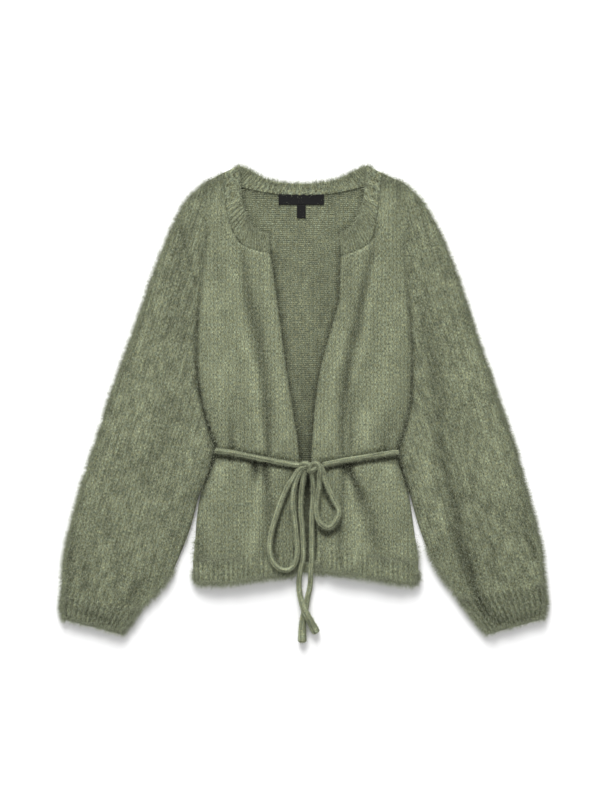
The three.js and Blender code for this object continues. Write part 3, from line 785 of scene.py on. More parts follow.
def front_heights(rows, outward, folds, side_valley):
    last = len(rows) - 1

    def heights(point, inset, along):
        row, lap = front_row(rows, along)
        seam_inset = outward * (row.side_x - point.x)
        raised = smooth(abs(point.y - tie_line(point.x)) / TIE_GROOVE) * smooth((1 - along) * last / 2)
        relief = fold_height(folds, point) * smooth(inset / 5)
        valley = fold_height([side_valley], point)
        fine = 0.8 * lumps(point, 34, 1) + 0.4 * lumps(point, 10, 2)
        high = UPPER + CLOTH + raised * smooth(inset / EDGE_FADE) * FRONT_PUFF + relief
        high += fine * smooth(inset / 8)
        if lap:
            beside = between(high, ARMHOLE_HEIGHT, smooth(1 - seam_inset / ARMHOLE_WIDTH))
            high = max(high, beside) + valley
            high -= ARMHOLE_DROP * smooth(-seam_inset / ARMHOLE_LAP)
        high = max(high, FRONT_LEAST)
        # Painted shade in the folds' troughs and along the side valley, painted light on ridges, and the
        # tie's painted shadow
        shade = fold_shade(relief + 0.8 * valley) * tie_shade(point)
        return max(high - CLOTH, UNDER_LEAST), high, shade

    return heights


def sleeve_plan(rows, outward, lap=0.0):
    """A sleeve or cuff. A sleeve's first sections reach under the body by a lap."""

    def plan(across, along):
        row = SleeveRow(*curve_point(rows, along))
        under = lap * smooth(1 - along * (len(rows) - 1) / 0.6)
        beside = 0.6 * lap * smooth((row.in_y + 132) / 24)
        out = Vector((row.out_x - outward * under, row.out_y))
        inner = Vector((row.in_x - outward * max(under, beside), row.in_y))
        return out.lerp(inner, across)

    return plan


def sleeve_heights(rows, outward, folds, side_valley):
    last = len(rows) - 1

    def heights(point, inset, along):
        index = along * last
        share = smooth(index / ARMHOLE_ROWS) * smooth((last - index) / CUFF_ROWS)
        relief = fold_height(folds, point) * smooth(inset / 6)
        valley = fold_height([side_valley], point)
        fine = 0.8 * lumps(point, 38, 3) + 0.4 * lumps(point, 10, 4)
        high = 2 * FOLD_RADIUS + share * smooth(inset / EDGE_FADE) * SLEEVE_PUFF + relief
        high += fine * smooth(inset / 8) + valley * smooth(1 - index / 2)
        # Painted shade in the folds' troughs and along the side valley, and painted light on ridges
        return 0, max(high, SLEEVE_LEAST), fold_shade(relief + valley)

    return heights


def rib(ribs):
    """Height of a ribbed band at a number of ribs along it."""
    return RIB_HEIGHT * (0.5 - 0.5 * math.cos(2 * math.pi * ribs))


def rib_shade(ribs, depth):
    """Share of colour left at a number of ribs along a band: painted shade in the hollows between ribs."""
    return 1 - depth * (0.5 + 0.5 * math.cos(2 * math.pi * ribs))


class Nodes:
    """Adds nodes to one node tree."""

    def __init__(self, tree):
        self.tree = tree

    def add(self, kind, settings=None, inputs=None):
        """Adds a node, with its settings first and then the values or links of its sockets."""
        node = self.tree.nodes.new(kind)
        for name, value in (settings or {}).items():
            if name == "stops":
                set_stops(node.color_ramp, value)
            else:
                setattr(node, name, value)
        for name, value in (inputs or {}).items():
            if isinstance(value, Wire):
                self.tree.links.new(value.socket, node.inputs[name])
            elif isinstance(value, bpy.types.NodeSocket):
                self.tree.links.new(value, node.inputs[name])
            else:
                node.inputs[name].default_value = value
        return node

    def wire(self, kind, settings=None, inputs=None, output=0):
        return Wire(self, self.add(kind, settings, inputs).outputs[output])

    def mix(self, factor, first, second, blend="MIX"):
        settings = {"data_type": "RGBA", "blend_type": blend}
        return self.wire("ShaderNodeMix", settings, {0: factor, 6: first, 7: second}, 2)

    def scaled(self, vector, factors):
        return self.wire("ShaderNodeVectorMath", {"operation": "MULTIPLY"}, {0: vector, 1: factors})

    def moved(self, vector, distance):
        return self.wire("ShaderNodeVectorMath", {"operation": "ADD"}, {0: vector, 1: distance})

    def noise(self, vector, scale, detail=2, roughness=0.5):
        inputs = {"Vector": vector, "Scale": scale, "Detail": detail, "Roughness": roughness}
        return self.wire("ShaderNodeTexNoise", {}, inputs)

    def ramp(self, value, stops):
        return self.wire("ShaderNodeValToRGB", {"stops": stops}, {0: value})


class Wire:
    """A node's output. Python's operators on it add Math nodes."""

    def __init__(self, nodes, socket):
        self.nodes = nodes
        self.socket = socket

    def math(self, operation, *values):
        return self.nodes.wire("ShaderNodeMath", {"operation": operation}, dict(enumerate(values)))

    def __add__(self, other):
        return self.math("ADD", self, other)

    __radd__ = __add__

    def __sub__(self, other):
        return self.math("SUBTRACT", self, other)

    def __rsub__(self, other):
        return self.math("SUBTRACT", other, self)

    def __mul__(self, other):
        return self.math("MULTIPLY", self, other)

    __rmul__ = __mul__

    def __truediv__(self, other):
        return self.math("DIVIDE", self, other)

    def fraction(self):
        return self.math("FRACT", self)

    def size(self):
        return self.math("ABSOLUTE", self)

    def cosine(self):
        return self.math("COSINE", self)

    def above(self, limit, gain):
        """How far this lies above a limit, times a gain and never below 0."""
        return self.math("MAXIMUM", (self - limit) * gain, 0)


def set_stops(ramp, stops):
    """Gives a colour ramp its places and colours."""
    while len(ramp.elements) < len(stops):
        ramp.elements.new(1)
    for element, (place, color) in zip(ramp.elements, stops):
        element.position = place
        element.color = color


def tinted(color, factor):
    return tuple(min(1, channel * factor) for channel in color[:3]) + (1,)


def new_material(name):
    material = bpy.data.materials.new(name)
    material.use_nodes = True
    material.node_tree.nodes.clear()
    return material, Nodes(material.node_tree)


def heather(nodes, place, color, stretch, mottle):
    """Flecked yarn colour: dark and light strands drawn out along the wales, with slow changes of tone."""
    strands = nodes.noise(nodes.scaled(place, (1.2, 0.8 / stretch, 1)), 1, 3, 0.7)
    stops = [
        (0.33, tinted(color, 0.16)),
        (0.45, tinted(color, 0.72)),
        (0.55, tinted(color, 1.12)),
        (0.69, tinted(color, 2.4)),
    ]
    yarn = nodes.ramp(strands, stops)
    hue = nodes.noise(nodes.scaled(place, (0.5, 0.2, 1)), 1, 1)
    warm = (1.10, 1.03, 0.78, 1)
    cool = (0.90, 1.0, 1.08, 1)
    shift = nodes.ramp(hue, [(0.35, cool), (0.65, warm)])
    yarn = nodes.mix(0.55, yarn, shift, "MULTIPLY")
    tone = nodes.noise(nodes.scaled(place, (0.016, 0.012, 1)), 1, 3, 0.6)
    patch = nodes.ramp(tone, [(0.3, (0.86, 0.86, 0.86, 1)), (0.7, (1.14, 1.14, 1.14, 1))])
    yarn = nodes.mix(1, yarn, patch, "MULTIPLY")
    streak = nodes.noise(nodes.scaled(place, (0.13, 0.05, 1)), 1, 3, 0.6)
    low, high = (1 - mottle,) * 3 + (1,), (1 + mottle,) * 3 + (1,)
    return nodes.mix(1, yarn, nodes.ramp(streak, [(0.36, low), (0.64, high)]), "MULTIPLY")


def stitch_height(nodes, place, slant, rows):
    """Height of V-shaped stitches: 1 on the yarn's back, 0 between stitches and wales.

    rows is the share of the height that comes from the rows of stitches, not from the wales.
    """
    split = nodes.add("ShaderNodeSeparateXYZ", {}, {0: place})
    wale = Wire(nodes, split.outputs[0]) / WALE
    course = Wire(nodes, split.outputs[1]) / COURSE
    leg = (wale.fraction() - 0.5).size() * 2
    rise = 0.5 - 0.5 * ((course + slant * leg) * (2 * math.pi)).cosine()
    legs = 0.5 - 0.5 * (leg * (2 * math.pi)).cosine()
    column = 0.5 + 0.5 * (leg * math.pi).cosine()
    return rise * rows + (legs * 0.3 + column * 0.7) * (1 - rows)


def knit_material(name, color, slant=0.55, stretch=2.6, rows=0.22, mottle=0.1, groove=0.24):
    """Brushed heathered knit.

    slant is how steep the stitches' legs are, rows how much the rows of stitches show against the wales, and
    groove how dark the painted shade between the stitches is, against painted light on the yarn's backs.
    stretch is how long the flecks are, and mottle how uneven the streaks.
    """
    material, nodes = new_material(name)
    place = nodes.wire("ShaderNodeUVMap", {"uv_map": "knit"})
    sway = nodes.noise(nodes.scaled(place, (0.05, 0.02, 1)), 1, 2)
    stitches = stitch_height(nodes, nodes.moved(place, sway * WALE), slant, rows)
    yarn = heather(nodes, place, color, stretch, mottle)
    # Painted shade between the stitches and painted light on the yarn's backs, from the stitches' height
    dark, light = (1 - 0.6 * groove,) * 3 + (1,), (1 + 0.4 * groove,) * 3 + (1,)
    stitch_shade = nodes.ramp(stitches, [(0.0, dark), (0.6, light)])
    nap = nodes.noise(nodes.scaled(place, (1.6, 0.8, 1)), 1, 2, 0.6)
    base = nodes.mix(1, yarn, stitch_shade, "MULTIPLY")
    # The colour is scaled by the painted shade and painted light held in the pieces' shade attribute
    shade = nodes.wire("ShaderNodeAttribute", {"attribute_name": "shade"}, {}, 2)
    base = nodes.wire("ShaderNodeVectorMath", {"operation": "SCALE"}, {0: base, "Scale": shade})
    inputs = {"Height": stitches + 0.8 * nap, "Strength": 0.9, "Distance": STITCH_DEPTH * MM}
    bump = nodes.wire("ShaderNodeBump", {}, inputs)
    surface = {"Base Color": base, "Normal": bump, "Roughness": 0.95, "Specular IOR Level": 0.15}
    surface.update({"Sheen Weight": 0.35, "Sheen Roughness": 0.5, "Sheen Tint": tinted(color, 1.9)})
    shader = nodes.wire("ShaderNodeBsdfPrincipled", {}, surface)
    nodes.add("ShaderNodeOutputMaterial", {}, {"Surface": shader})
    return material


def fuzz_material(name, color):
    """Loose fibres: each a little lighter or darker than the next."""
    material, nodes = new_material(name)
    place = nodes.wire("ShaderNodeTexCoord", {}, {}, 3)
    tone = nodes.noise(place, 420, 1, 0.6)
    stops = [(0.3, tinted(color, 0.7)), (0.5, tinted(color, 1.4)), (0.7, tinted(color, 2.5))]
    base = nodes.ramp(tone, stops)
    surface = {"Base Color": base, "Roughness": 0.9, "Specular IOR Level": 0.15}
    surface.update({"Sheen Weight": 0.3, "Sheen Roughness": 0.5})
    shader = nodes.wire("ShaderNodeBsdfPrincipled", {}, surface)
    nodes.add("ShaderNodeOutputMaterial", {}, {"Surface": shader})
    return material


def label_material(name, color):
    """Black woven satin: fine threads across, with a low gloss."""
    material, nodes = new_material(name)
    place = nodes.wire("ShaderNodeTexCoord", {}, {}, 3)
    threads = nodes.noise(nodes.scaled(place, (900, 3600, 900)), 1, 2)
    base = nodes.ramp(threads, [(0.3, tinted(color, 0.7)), (0.7, tinted(color, 1.5))])
    bump = nodes.wire("ShaderNodeBump", {}, {"Height": threads, "Strength": 0.5, "Distance": 0.1 * MM})
    surface = {"Base Color": base, "Normal": bump, "Roughness": 0.6, "Specular IOR Level": 0.12}
    shader = nodes.wire("ShaderNodeBsdfPrincipled", {}, surface)
    nodes.add("ShaderNodeOutputMaterial", {}, {"Surface": shader})
    return material


def floor_material(name):
    material, nodes = new_material(name)
    surface = {"Base Color": (0.98, 0.98, 0.98, 1), "Roughness": 0.9}
    shader = nodes.wire("ShaderNodeBsdfPrincipled", {}, surface)
    nodes.add("ShaderNodeOutputMaterial", {}, {"Surface": shader})
    return material


def fuzz_tree(density, length, radius, comb, seed):
    """Nodes that stand loose fibres on a cloth's upper faces and, thicker, its edges, combed one way."""
    tree = bpy.data.node_groups.new("fuzz", "GeometryNodeTree")
    tree.interface.new_socket("Geometry", in_out="INPUT", socket_type="NodeSocketGeometry")
    tree.interface.new_socket("Geometry", in_out="OUTPUT", socket_type="NodeSocketGeometry")
    nodes = Nodes(tree)
    cloth = nodes.add("NodeGroupInput").outputs[0]
    normal = nodes.wire("GeometryNodeInputNormal")
    upward = nodes.wire("ShaderNodeSeparateXYZ", {}, {0: normal}, 2)
    outside = nodes.wire("FunctionNodeCompare", {"operation": "GREATER_THAN"}, {0: upward, 1: FIBRE_FACING})
    halo = nodes.wire("GeometryNodeInputNamedAttribute", {"data_type": "FLOAT"}, {"Name": "halo"})
    clump = nodes.noise(nodes.wire("GeometryNodeInputPosition"), 420, 2)
    thickness = halo * clump.above(0.34, 9) * density
    inputs = {"Mesh": cloth, "Selection": outside, "Density": thickness, "Seed": seed}
    points = nodes.add("GeometryNodeDistributePointsOnFaces", {"distribute_method": "RANDOM"}, inputs)
    shape = {"Vertices": 3, "Radius Top": 0, "Radius Bottom": radius * MM, "Depth": length * MM}
    fibre = nodes.wire("GeometryNodeMeshCone", {"fill_type": "NONE"}, shape)
    low, high = (-0.8 + comb[0], -0.8 + comb[1], 0.16), (0.8 + comb[0], 0.8 + comb[1], 0.6)
    inputs = {0: low, 1: high, "Seed": seed + 1}
    stray = nodes.wire("FunctionNodeRandomValue", {"data_type": "FLOAT_VECTOR"}, inputs)
    lifted = {0: points.outputs[1], 1: (0.9, 0.9, 0.5), 2: stray}
    direction = nodes.wire("ShaderNodeVectorMath", {"operation": "MULTIPLY_ADD"}, lifted)
    rotation = nodes.wire("FunctionNodeAlignRotationToVector", {"axis": "Z"}, {"Vector": direction})
    inputs = {2: 0.3, 3: 1.5, "Seed": seed + 2}
    size = nodes.wire("FunctionNodeRandomValue", {"data_type": "FLOAT"}, inputs, 1)
    inputs = {"Points": points.outputs[0], "Instance": fibre, "Rotation": rotation, "Scale": size}
    instances = nodes.wire("GeometryNodeInstanceOnPoints", {}, inputs)
    strands = nodes.wire("GeometryNodeRealizeInstances", {}, {0: instances})
    nodes.add("NodeGroupOutput", {}, {0: strands})
    return tree


def evaluated_mesh(obj):
    depsgraph = bpy.context.evaluated_depsgraph_get()
    return bpy.data.meshes.new_from_object(obj.evaluated_get(depsgraph), depsgraph=depsgraph)


def halo_area(data):
    """Area of the faces that get fibres, each weighed by how thick they stand on it."""
    halo = data.attributes["halo"].data
    total = 0
    for face in data.polygons:
        if face.normal.z > FIBRE_FACING:
            total += face.area * sum(halo[index].value for index in face.vertices) / len(face.vertices)
    return total


def add_fuzz(cloth):
    """Gives a cloth piece its own object of loose fibres."""
    settings = bpy.context.scene.cardigan
    name = cloth.name.replace("cloth_", "")
    fuzz = FUZZ[name]
    density = fuzz.count * settings.fuzz_density / halo_area(cloth.data)
    length = fuzz.length * (settings.fibre_length / MM)
    obj = bpy.data.objects.new(name + "_fuzz", cloth.data.copy())
    bpy.context.scene.collection.objects.link(obj)
    modifier = obj.modifiers.new("fuzz", "NODES")
    modifier.node_group = fuzz_tree(density, length, settings.fibre_radius / MM, fuzz.comb, fuzz.seed)
    fibres = evaluated_mesh(obj)
    obj.modifiers.clear()
    obj.data = fibres
    obj.data.materials.clear()
    obj.data.materials.append(material_named("fuzz"))
    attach(obj, "root")
    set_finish(obj, cloth["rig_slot"])
    return obj


def material_named(name):
    """A finish of the cardigan, made when a piece first asks for it."""
    full_name = "cardigan_" + name
    if full_name in bpy.data.materials:
        return bpy.data.materials[full_name]
    settings = bpy.context.scene.cardigan
    yarn = tuple(settings.yarn_color) + (1,)
    purl = {"slant": 0.1, "stretch": 2, "rows": 0.55, "mottle": 0.16, "groove": 0.46}
    makers = {
        "knit": lambda: knit_material(full_name, yarn),
        "sleeve": lambda: knit_material(full_name, tinted(yarn, 0.9), mottle=0.3),
        "inside": lambda: knit_material(full_name, tinted(yarn, 0.8), **purl),
        "rib": lambda: knit_material(full_name, tinted(yarn, 1.1), stretch=3, mottle=0.2),
        "tie": lambda: knit_material(full_name, tinted(yarn, 1.08), stretch=1.2, mottle=0.3, groove=0.7),
        "fuzz": lambda: fuzz_material(full_name, yarn),
        "label": lambda: label_material(full_name, tuple(settings.label_color) + (1,)),
        "floor": lambda: floor_material(full_name),
    }
    return makers[name]()


def cut_sheet(obj, width, length, area=None):
    """Works out a laid piece's flat cut and area in metres, and keeps none of it."""
    cut_area = None if area is None else area * MM * MM
    width * MM
    length * MM


def plan_area(plan, steps=40):
    """Area of a plan in square millimetres, from its sections."""
    total = 0
    for step in range(steps):
        a, b = plan(0, step / steps), plan(1, step / steps)
        c, d = plan(1, (step + 1) / steps), plan(0, (step + 1) / steps)
        corners = [a, b, c, d]
        total += abs(sum(p.cross(q) for p, q in zip(corners, corners[1:] + corners[:1]))) / 2
    return total


def plan_size(plan, steps=40):
    """Width and length of the box round a plan."""
    points = [plan(side, step / steps) for step in range(steps + 1) for side in (0, 0.5, 1)]
    wide = max(p.x for p in points) - min(p.x for p in points)
    tall = max(p.y for p in points) - min(p.y for p in points)
    return wide, tall


def table_height(table, x):
    """Height on a table of points at a place across it."""
    first, last = table[0].x, table[-1].x
    if x <= first:
        return table[0].y
    if x >= last:
        return table[-1].y
    index = next(i for i in range(1, len(table)) if table[i].x >= x)
    a, b = table[index - 1], table[index]
    return between(a.y, b.y, (x - a.x) / (b.x - a.x))


def back_plan(across, along):
    """The back, held a little inside the fronts' edges."""
    row = BackRow(*curve_point(BACK_SIDES, along))
    x = between(row.left + BACK_INSET, row.right - BACK_INSET, across)
    top_x = between(BACK_TOP[0].x, BACK_TOP[-1].x, across)
    bottom, tip = BACK_SIDES[0].y, BACK_SIDES[-1].y
    up = (row.y - bottom) / (tip - bottom)
    return Vector((x, between(bottom, table_height(BACK_TOP, top_x), up)))


def back_heights(point, inset, along):
    # The back's relief only darkens its colour, as painted shade; its height doesn't follow it
    relief = fold_height(BACK_SHADOWS, point)
    fine = 0.25 * lumps(point, 30, 5)
    return 0, CLOTH - 0.15 + fine * smooth(inset / 10), fold_shade(relief)


def build_back():
    """The back, with its inside showing in the opening and its right side down."""

    def loose(across, along):
        return INNER_HALO

    mesh = cloth_body(back_plan, back_heights, BACK_FACES, BACK_EDGE, straight_grain(), loose)
    back = finished("cloth_back", mesh, material_named("inside"), "knit", "back")
    back.data.materials.append(material_named("knit"))
    for face in back.data.polygons:
        face.material_index = 1 if face.normal.z < 0 else 0
    cut_sheet(back, *BACK_CUT, plan_area(back_plan))
    return back


def build_front(side, rows, outward, folds, side_valley):
    plan = front_plan(rows, outward)
    heights = front_heights(rows, outward, folds, side_valley)

    def loose(across, along):
        return 1 if across < 0.5 and along < 0.05 or along > 0.98 else INNER_HALO

    mesh = cloth_body(plan, heights, FRONT_FACES, PANEL_EDGE, straight_grain(), loose)
    front = finished("cloth_front_" + side, mesh, material_named("knit"), "knit", "front_" + side)
    wide, tall = plan_size(plan)
    cut_sheet(front, wide, tall, plan_area(plan))
    return front


def build_sleeve(side, rows, outward, folds, side_valley):
    plan = sleeve_plan(rows, outward, SIDE_LAP)
    heights = sleeve_heights(rows, outward, folds, side_valley)

    def loose(across, along):
        free = across < 0.1 or (across > 0.9 and along > 0.84)
        return 1 if free else INNER_HALO

    grain = straight_grain(SLEEVE_LEAN * outward)
    mesh = cloth_body(plan, heights, SLEEVE_FACES, FOLD_RADIUS, grain, loose, closed=False)
    sleeve = finished("cloth_sleeve_" + side, mesh, material_named("sleeve"), "knit", "sleeve_" + side)
    area = 2 * plan_area(plan)
    cut_sheet(sleeve, area / SLEEVE_MEAN, SLEEVE_CUT, area)
    return sleeve


def build_cuff(side, rows, outward, folds):
    plan = sleeve_plan(rows, outward)
    width = (plan(1, 0.5) - plan(0, 0.5)).length
    ribs = round(width / RIB_PITCH)

    def heights(point, inset, along):
        start, end = plan(0, along), plan(1, along)
        share = (point - start).length / (end - start).length
        relief = fold_height(folds, point) * smooth(inset / 5)
        high = 2 * FOLD_RADIUS + rib(share * ribs) * smooth(inset / 6) + relief
        # Painted shade in the rib hollows and the folds' troughs, painted light on ridges, and the cuff
        # darker all over
        return 0, max(high, CUFF_LEAST), 0.9 * rib_shade(share * ribs, 0.5) * fold_shade(relief)

    def loose(across, along):
        return INNER_HALO if along < 0.3 and 0.1 < across < 0.9 else 1

    grain = straight_grain(CUFF_LEAN * outward)
    faces = (RIB_FACES * ribs, BAND_FACES)
    mesh = cloth_body(plan, heights, faces, FOLD_RADIUS, grain, loose, closed=False)
    cuff = finished("cloth_cuff_" + side, mesh, material_named("rib"), "rib_knit", "cuff_" + side)
    wall = cuff.modifiers.new("wall", "SOLIDIFY")
    wall.thickness = CUFF_WALL * MM
    wall.offset = -1
    area = 2 * plan_area(plan)
    cut_sheet(cuff, area / CUFF_MEAN, CUFF_CUT, area)
    return cuff


def lapped(seam, edge):
    """A band's seam point, moved away from its free edge to lap over the panel."""
    return seam + (seam - edge).normalized() * SEAM_LAP


def hem_plan(start, end, edge):
    """A hem band: from its seam down to its edge, along the garment's width."""

    def plan(across, along):
        edge_x = between(edge[0].x, edge[-1].x, along)
        lower = Vector((edge_x, table_height(edge, edge_x)))
        return lapped(start.lerp(end, along), lower).lerp(lower, across)

    return plan


def build_hem(name, start, end, edge, front):
    plan = hem_plan(start, end, edge)
    left, right = edge[0].x, edge[-1].x
    ribs = round((right - left) / RIB_PITCH)

    def heights(point, inset, along):
        if not front:
            return 0, CLOTH - 0.2, 1
        side_inset = min(point.x - left, right - point.x)
        relief = fold_height(LEFT_FOLDS + RIGHT_FOLDS, point) * smooth(side_inset / 5)
        panel = max(UPPER + smooth(side_inset / EDGE_FADE) * FRONT_PUFF + relief, UNDER_LEAST)
        low = panel + SEAM_RISE
        # Painted shade in the rib hollows and the folds' troughs, painted light on ridges, and the hem
        # lighter all over
        shade = 1.05 * rib_shade(along * ribs, 0.3) * fold_shade(relief)
        return low, low + CLOTH + rib(along * ribs), shade

    def loose(across, along):
        return 1 if across > 0.4 else INNER_HALO

    faces = (BAND_FACES, RIB_FACES * ribs if front else HEM_BACK_FACES)
    mesh = cloth_body(plan, heights, faces, BAND_EDGE, straight_grain(), loose)
    hem = finished("cloth_" + name, mesh, material_named("rib"), "rib_knit", name)
    wide, tall = plan_size(plan)
    cut_sheet(hem, wide, tall, plan_area(plan))
    return hem


def band_plan(seam, edge):
    """A neckband: from its seam to its free edge, along the neck."""

    def plan(across, along):
        free = curve_point(edge, along)
        return lapped(curve_point(seam, along), free).lerp(free, across)

    return plan


def build_neckband(side, seam, edge, base, ribs, edge_halo):
    plan = band_plan(seam, edge)

    def heights(point, inset, along):
        high = base + CLOTH + SEAM_RISE + rib(along * ribs)
        # Painted shade in the rib hollows, and the band a little darker all over
        return base, high, 0.9 * rib_shade(along * ribs, 0.08)

    def loose(across, along):
        return edge_halo if across > 0.5 else INNER_HALO

    mesh = cloth_body(plan, heights, (BAND_FACES, RIB_FACES * ribs), BAND_EDGE, band_grain, loose)
    band = finished("cloth_neckband_" + side, mesh, material_named("rib"), "rib_knit", "neckband_" + side)
    wide, tall = plan_size(plan)
    cut_sheet(band, wide, tall, plan_area(plan))
    return band


def tube_mesh(mesh, route, radius, swell=0.0):
    """Adds a closed round cord along a route of points, and returns its middle line.

    Its ends are rounded. swell is how much wider it grows towards the last of them.
    """
    samples = [curve_point(route, step / 400) for step in range(401)]
    length = sum((q - p).length for p, q in zip(samples, samples[1:]))
    steps = max(6, round(length / TIE_STEP))
    line, travelled, target = [samples[0]], 0, length / steps
    for p, q in zip(samples, samples[1:]):
        travelled += (q - p).length
        if travelled >= target and len(line) < steps:
            line.append(q)
            target += length / steps
    line.append(samples[-1])
    last = len(line) - 1

    def wider(ring):
        return swell * math.exp(-(((last - ring) * length / steps / SWELL_LENGTH) ** 2))

    line = [point + Vector((0, 0, radius * wider(index))) for index, point in enumerate(line)]
    rings = [0, 0.3, 0.8] + [i * last / steps for i in range(1, steps)]
    rings = sorted(rings + [last - r for r in (0, 0.3, 0.8)])
    across = Vector((0, 0, 1))
    places = []
    for ring in rings:
        index = min(int(ring), last - 1)
        centre = line[index].lerp(line[index + 1], ring - index)
        ahead = line[min(index + 2, last)] - line[max(index - 1, 0)]
        side = across.cross(ahead).normalized()
        up = ahead.cross(side).normalized()
        tip = min(ring, last - ring) * length / steps
        size = radius * (1 + wider(ring)) * math.sqrt(max(0, 1 - (1 - min(tip / radius, 1)) ** 2))
        places.append((centre, side, up, size, ring * length / steps))

    def corner_at(column, row):
        centre, side, up, size, distance = places[row]
        angle = 2 * math.pi * column / TIE_SIDES
        spot = centre + size * (math.cos(angle) * side + math.sin(angle) * up)
        return Corner(spot, (TIE_WALES * WALE * column / TIE_SIDES, distance), 1, 1)

    add_grid(mesh, TIE_SIDES, len(places) - 1, corner_at)
    return line


def build_tie_strand(name, route, radius):
    swell = END_SWELL if "end" in name else 0
    mesh = bmesh.new()
    line = tube_mesh(mesh, route, radius, swell)
    weld(mesh)
    strand = finished("cloth_" + name, mesh, material_named("tie"), "tie_knit", name)
    length = sum((q - p).length for p, q in zip(line, line[1:]))
    tuple(line[0] * MM)
    2 * radius * MM
    [tuple(point * MM) for point in line]
    return strand


def build_knot(radius):
    mesh = bmesh.new()
    for route in KNOT_ROUTES:
        tube_mesh(mesh, route, radius)
    weld(mesh)
    return finished("cloth_tie_knot", mesh, material_named("tie"), "tie_knit", "tie_knot")


def build_label(node, growth):
    """A bare black woven piece in place of a plain label solid."""
    low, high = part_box(node)
    low = low / MM + Vector((0, LABEL_SHIFT, 0))
    high = high / MM + Vector((0, LABEL_SHIFT + growth, 0))
    size = high - low

    def plan(across, along):
        return Vector((between(low.x, high.x, across), between(low.y, high.y, along)))

    def heights(point, inset, along):
        curl = 0.5 * smooth(1 - inset / 6) + 0.25 * lumps(point, 14, 6)
        return low.z - 0.2, high.z + curl, 1

    def loose(across, along):
        return 0

    mesh = cloth_body(plan, heights, LABEL_FACES, LABEL_EDGE, straight_grain(), loose)
    label = finished("cloth_" + node, mesh, material_named("label"), "label_satin", node)
    cut_sheet(label, size.x, size.y)
    return label


class CardiganSettings(bpy.types.PropertyGroup):
    yarn_color: bpy.props.FloatVectorProperty(
        name="Yarn",
        description="Middle tone of the heathered yarn",
        subtype="COLOR",
        size=3,
        default=(0.194, 0.211, 0.141),
        min=0,
        max=1,
    )
    label_color: bpy.props.FloatVectorProperty(
        name="Label",
        description="Colour of the neck label and its tab",
        subtype="COLOR",
        size=3,
        default=(0.008, 0.008, 0.008),
        min=0,
        max=1,
    )
    tie_radius: bpy.props.FloatProperty(
        name="Tie radius",
        description="Radius of the knitted cord",
        default=0.0035,
        min=0.002,
        max=0.006,
        unit="LENGTH",
    )
    fibre_length: bpy.props.FloatProperty(
        name="Fibre length",
        description="Typical length of a loose fibre",
        default=0.0068,
        min=0.001,
        max=0.012,
        unit="LENGTH",
    )
    fibre_radius: bpy.props.FloatProperty(
        name="Fibre radius",
        description="Radius of a loose fibre at its root",
        default=0.00014,
        min=0.00002,
        max=0.0005,
        precision=5,
        unit="LENGTH",
    )
    fuzz_density: bpy.props.FloatProperty(
        name="Fuzz",
        description="Share of the full number of loose fibres",
        default=1,
        min=0.05,
        max=1,
        subtype="FACTOR",
    )


class CARDIGAN_OT_back(bpy.types.Operator):
    """Build the back, whose inside shows in the opening"""

    bl_idname = "cardigan.back"
    bl_label = "Back"

    def execute(self, context):
        add_fuzz(build_back())
        return {"FINISHED"}


class CARDIGAN_OT_fronts(bpy.types.Operator):
    """Build the left and the right front with their folds and waist gathers"""

    bl_idname = "cardigan.fronts"
    bl_label = "Fronts"

    def execute(self, context):
        add_fuzz(build_front("left", FRONT_LEFT, -1, LEFT_FOLDS, LEFT_SIDE_VALLEY))
        add_fuzz(build_front("right", FRONT_RIGHT, 1, RIGHT_FOLDS, RIGHT_SIDE_VALLEY))
        return {"FINISHED"}


class CARDIGAN_OT_sleeves(bpy.types.Operator):
    """Build the two full sleeves"""

    bl_idname = "cardigan.sleeves"
    bl_label = "Sleeves"

    def execute(self, context):
        left = build_sleeve("left", SLEEVE_LEFT, -1, LEFT_SLEEVE_FOLDS, LEFT_SIDE_VALLEY)
        right = build_sleeve("right", SLEEVE_RIGHT, 1, RIGHT_SLEEVE_FOLDS, RIGHT_SIDE_VALLEY)
        add_fuzz(left)
        add_fuzz(right)
        return {"FINISHED"}


class CARDIGAN_OT_cuffs(bpy.types.Operator):
    """Build the two ribbed cuffs"""

    bl_idname = "cardigan.cuffs"
    bl_label = "Cuffs"

    def execute(self, context):
        add_fuzz(build_cuff("left", CUFF_LEFT, -1, LEFT_CUFF_FOLDS))
        add_fuzz(build_cuff("right", CUFF_RIGHT, 1, RIGHT_CUFF_FOLDS))
        return {"FINISHED"}


class CARDIGAN_OT_hem(bpy.types.Operator):
    """Build the ribbed hem band: its back and its two front stretches"""

    bl_idname = "cardigan.hem"
    bl_label = "Hem"

    def execute(self, context):
        left, right, back = FRONT_LEFT[0], FRONT_RIGHT[0], BACK_SIDES[0]
        left_side, left_open = Vector((left.side_x, left.side_y)), Vector((left.open_x, left.open_y))
        right_side, right_open = Vector((right.side_x, right.side_y)), Vector((right.open_x, right.open_y))
        back_start = Vector((back.left + BACK_INSET, back.y))
        back_end = Vector((back.right - BACK_INSET, back.y))
        add_fuzz(build_hem("hem_left", left_side, left_open, HEM_LEFT, True))
        add_fuzz(build_hem("hem_right", right_open, right_side, HEM_RIGHT, True))
        add_fuzz(build_hem("hem_back", back_start, back_end, HEM_BACK, False))
        return {"FINISHED"}


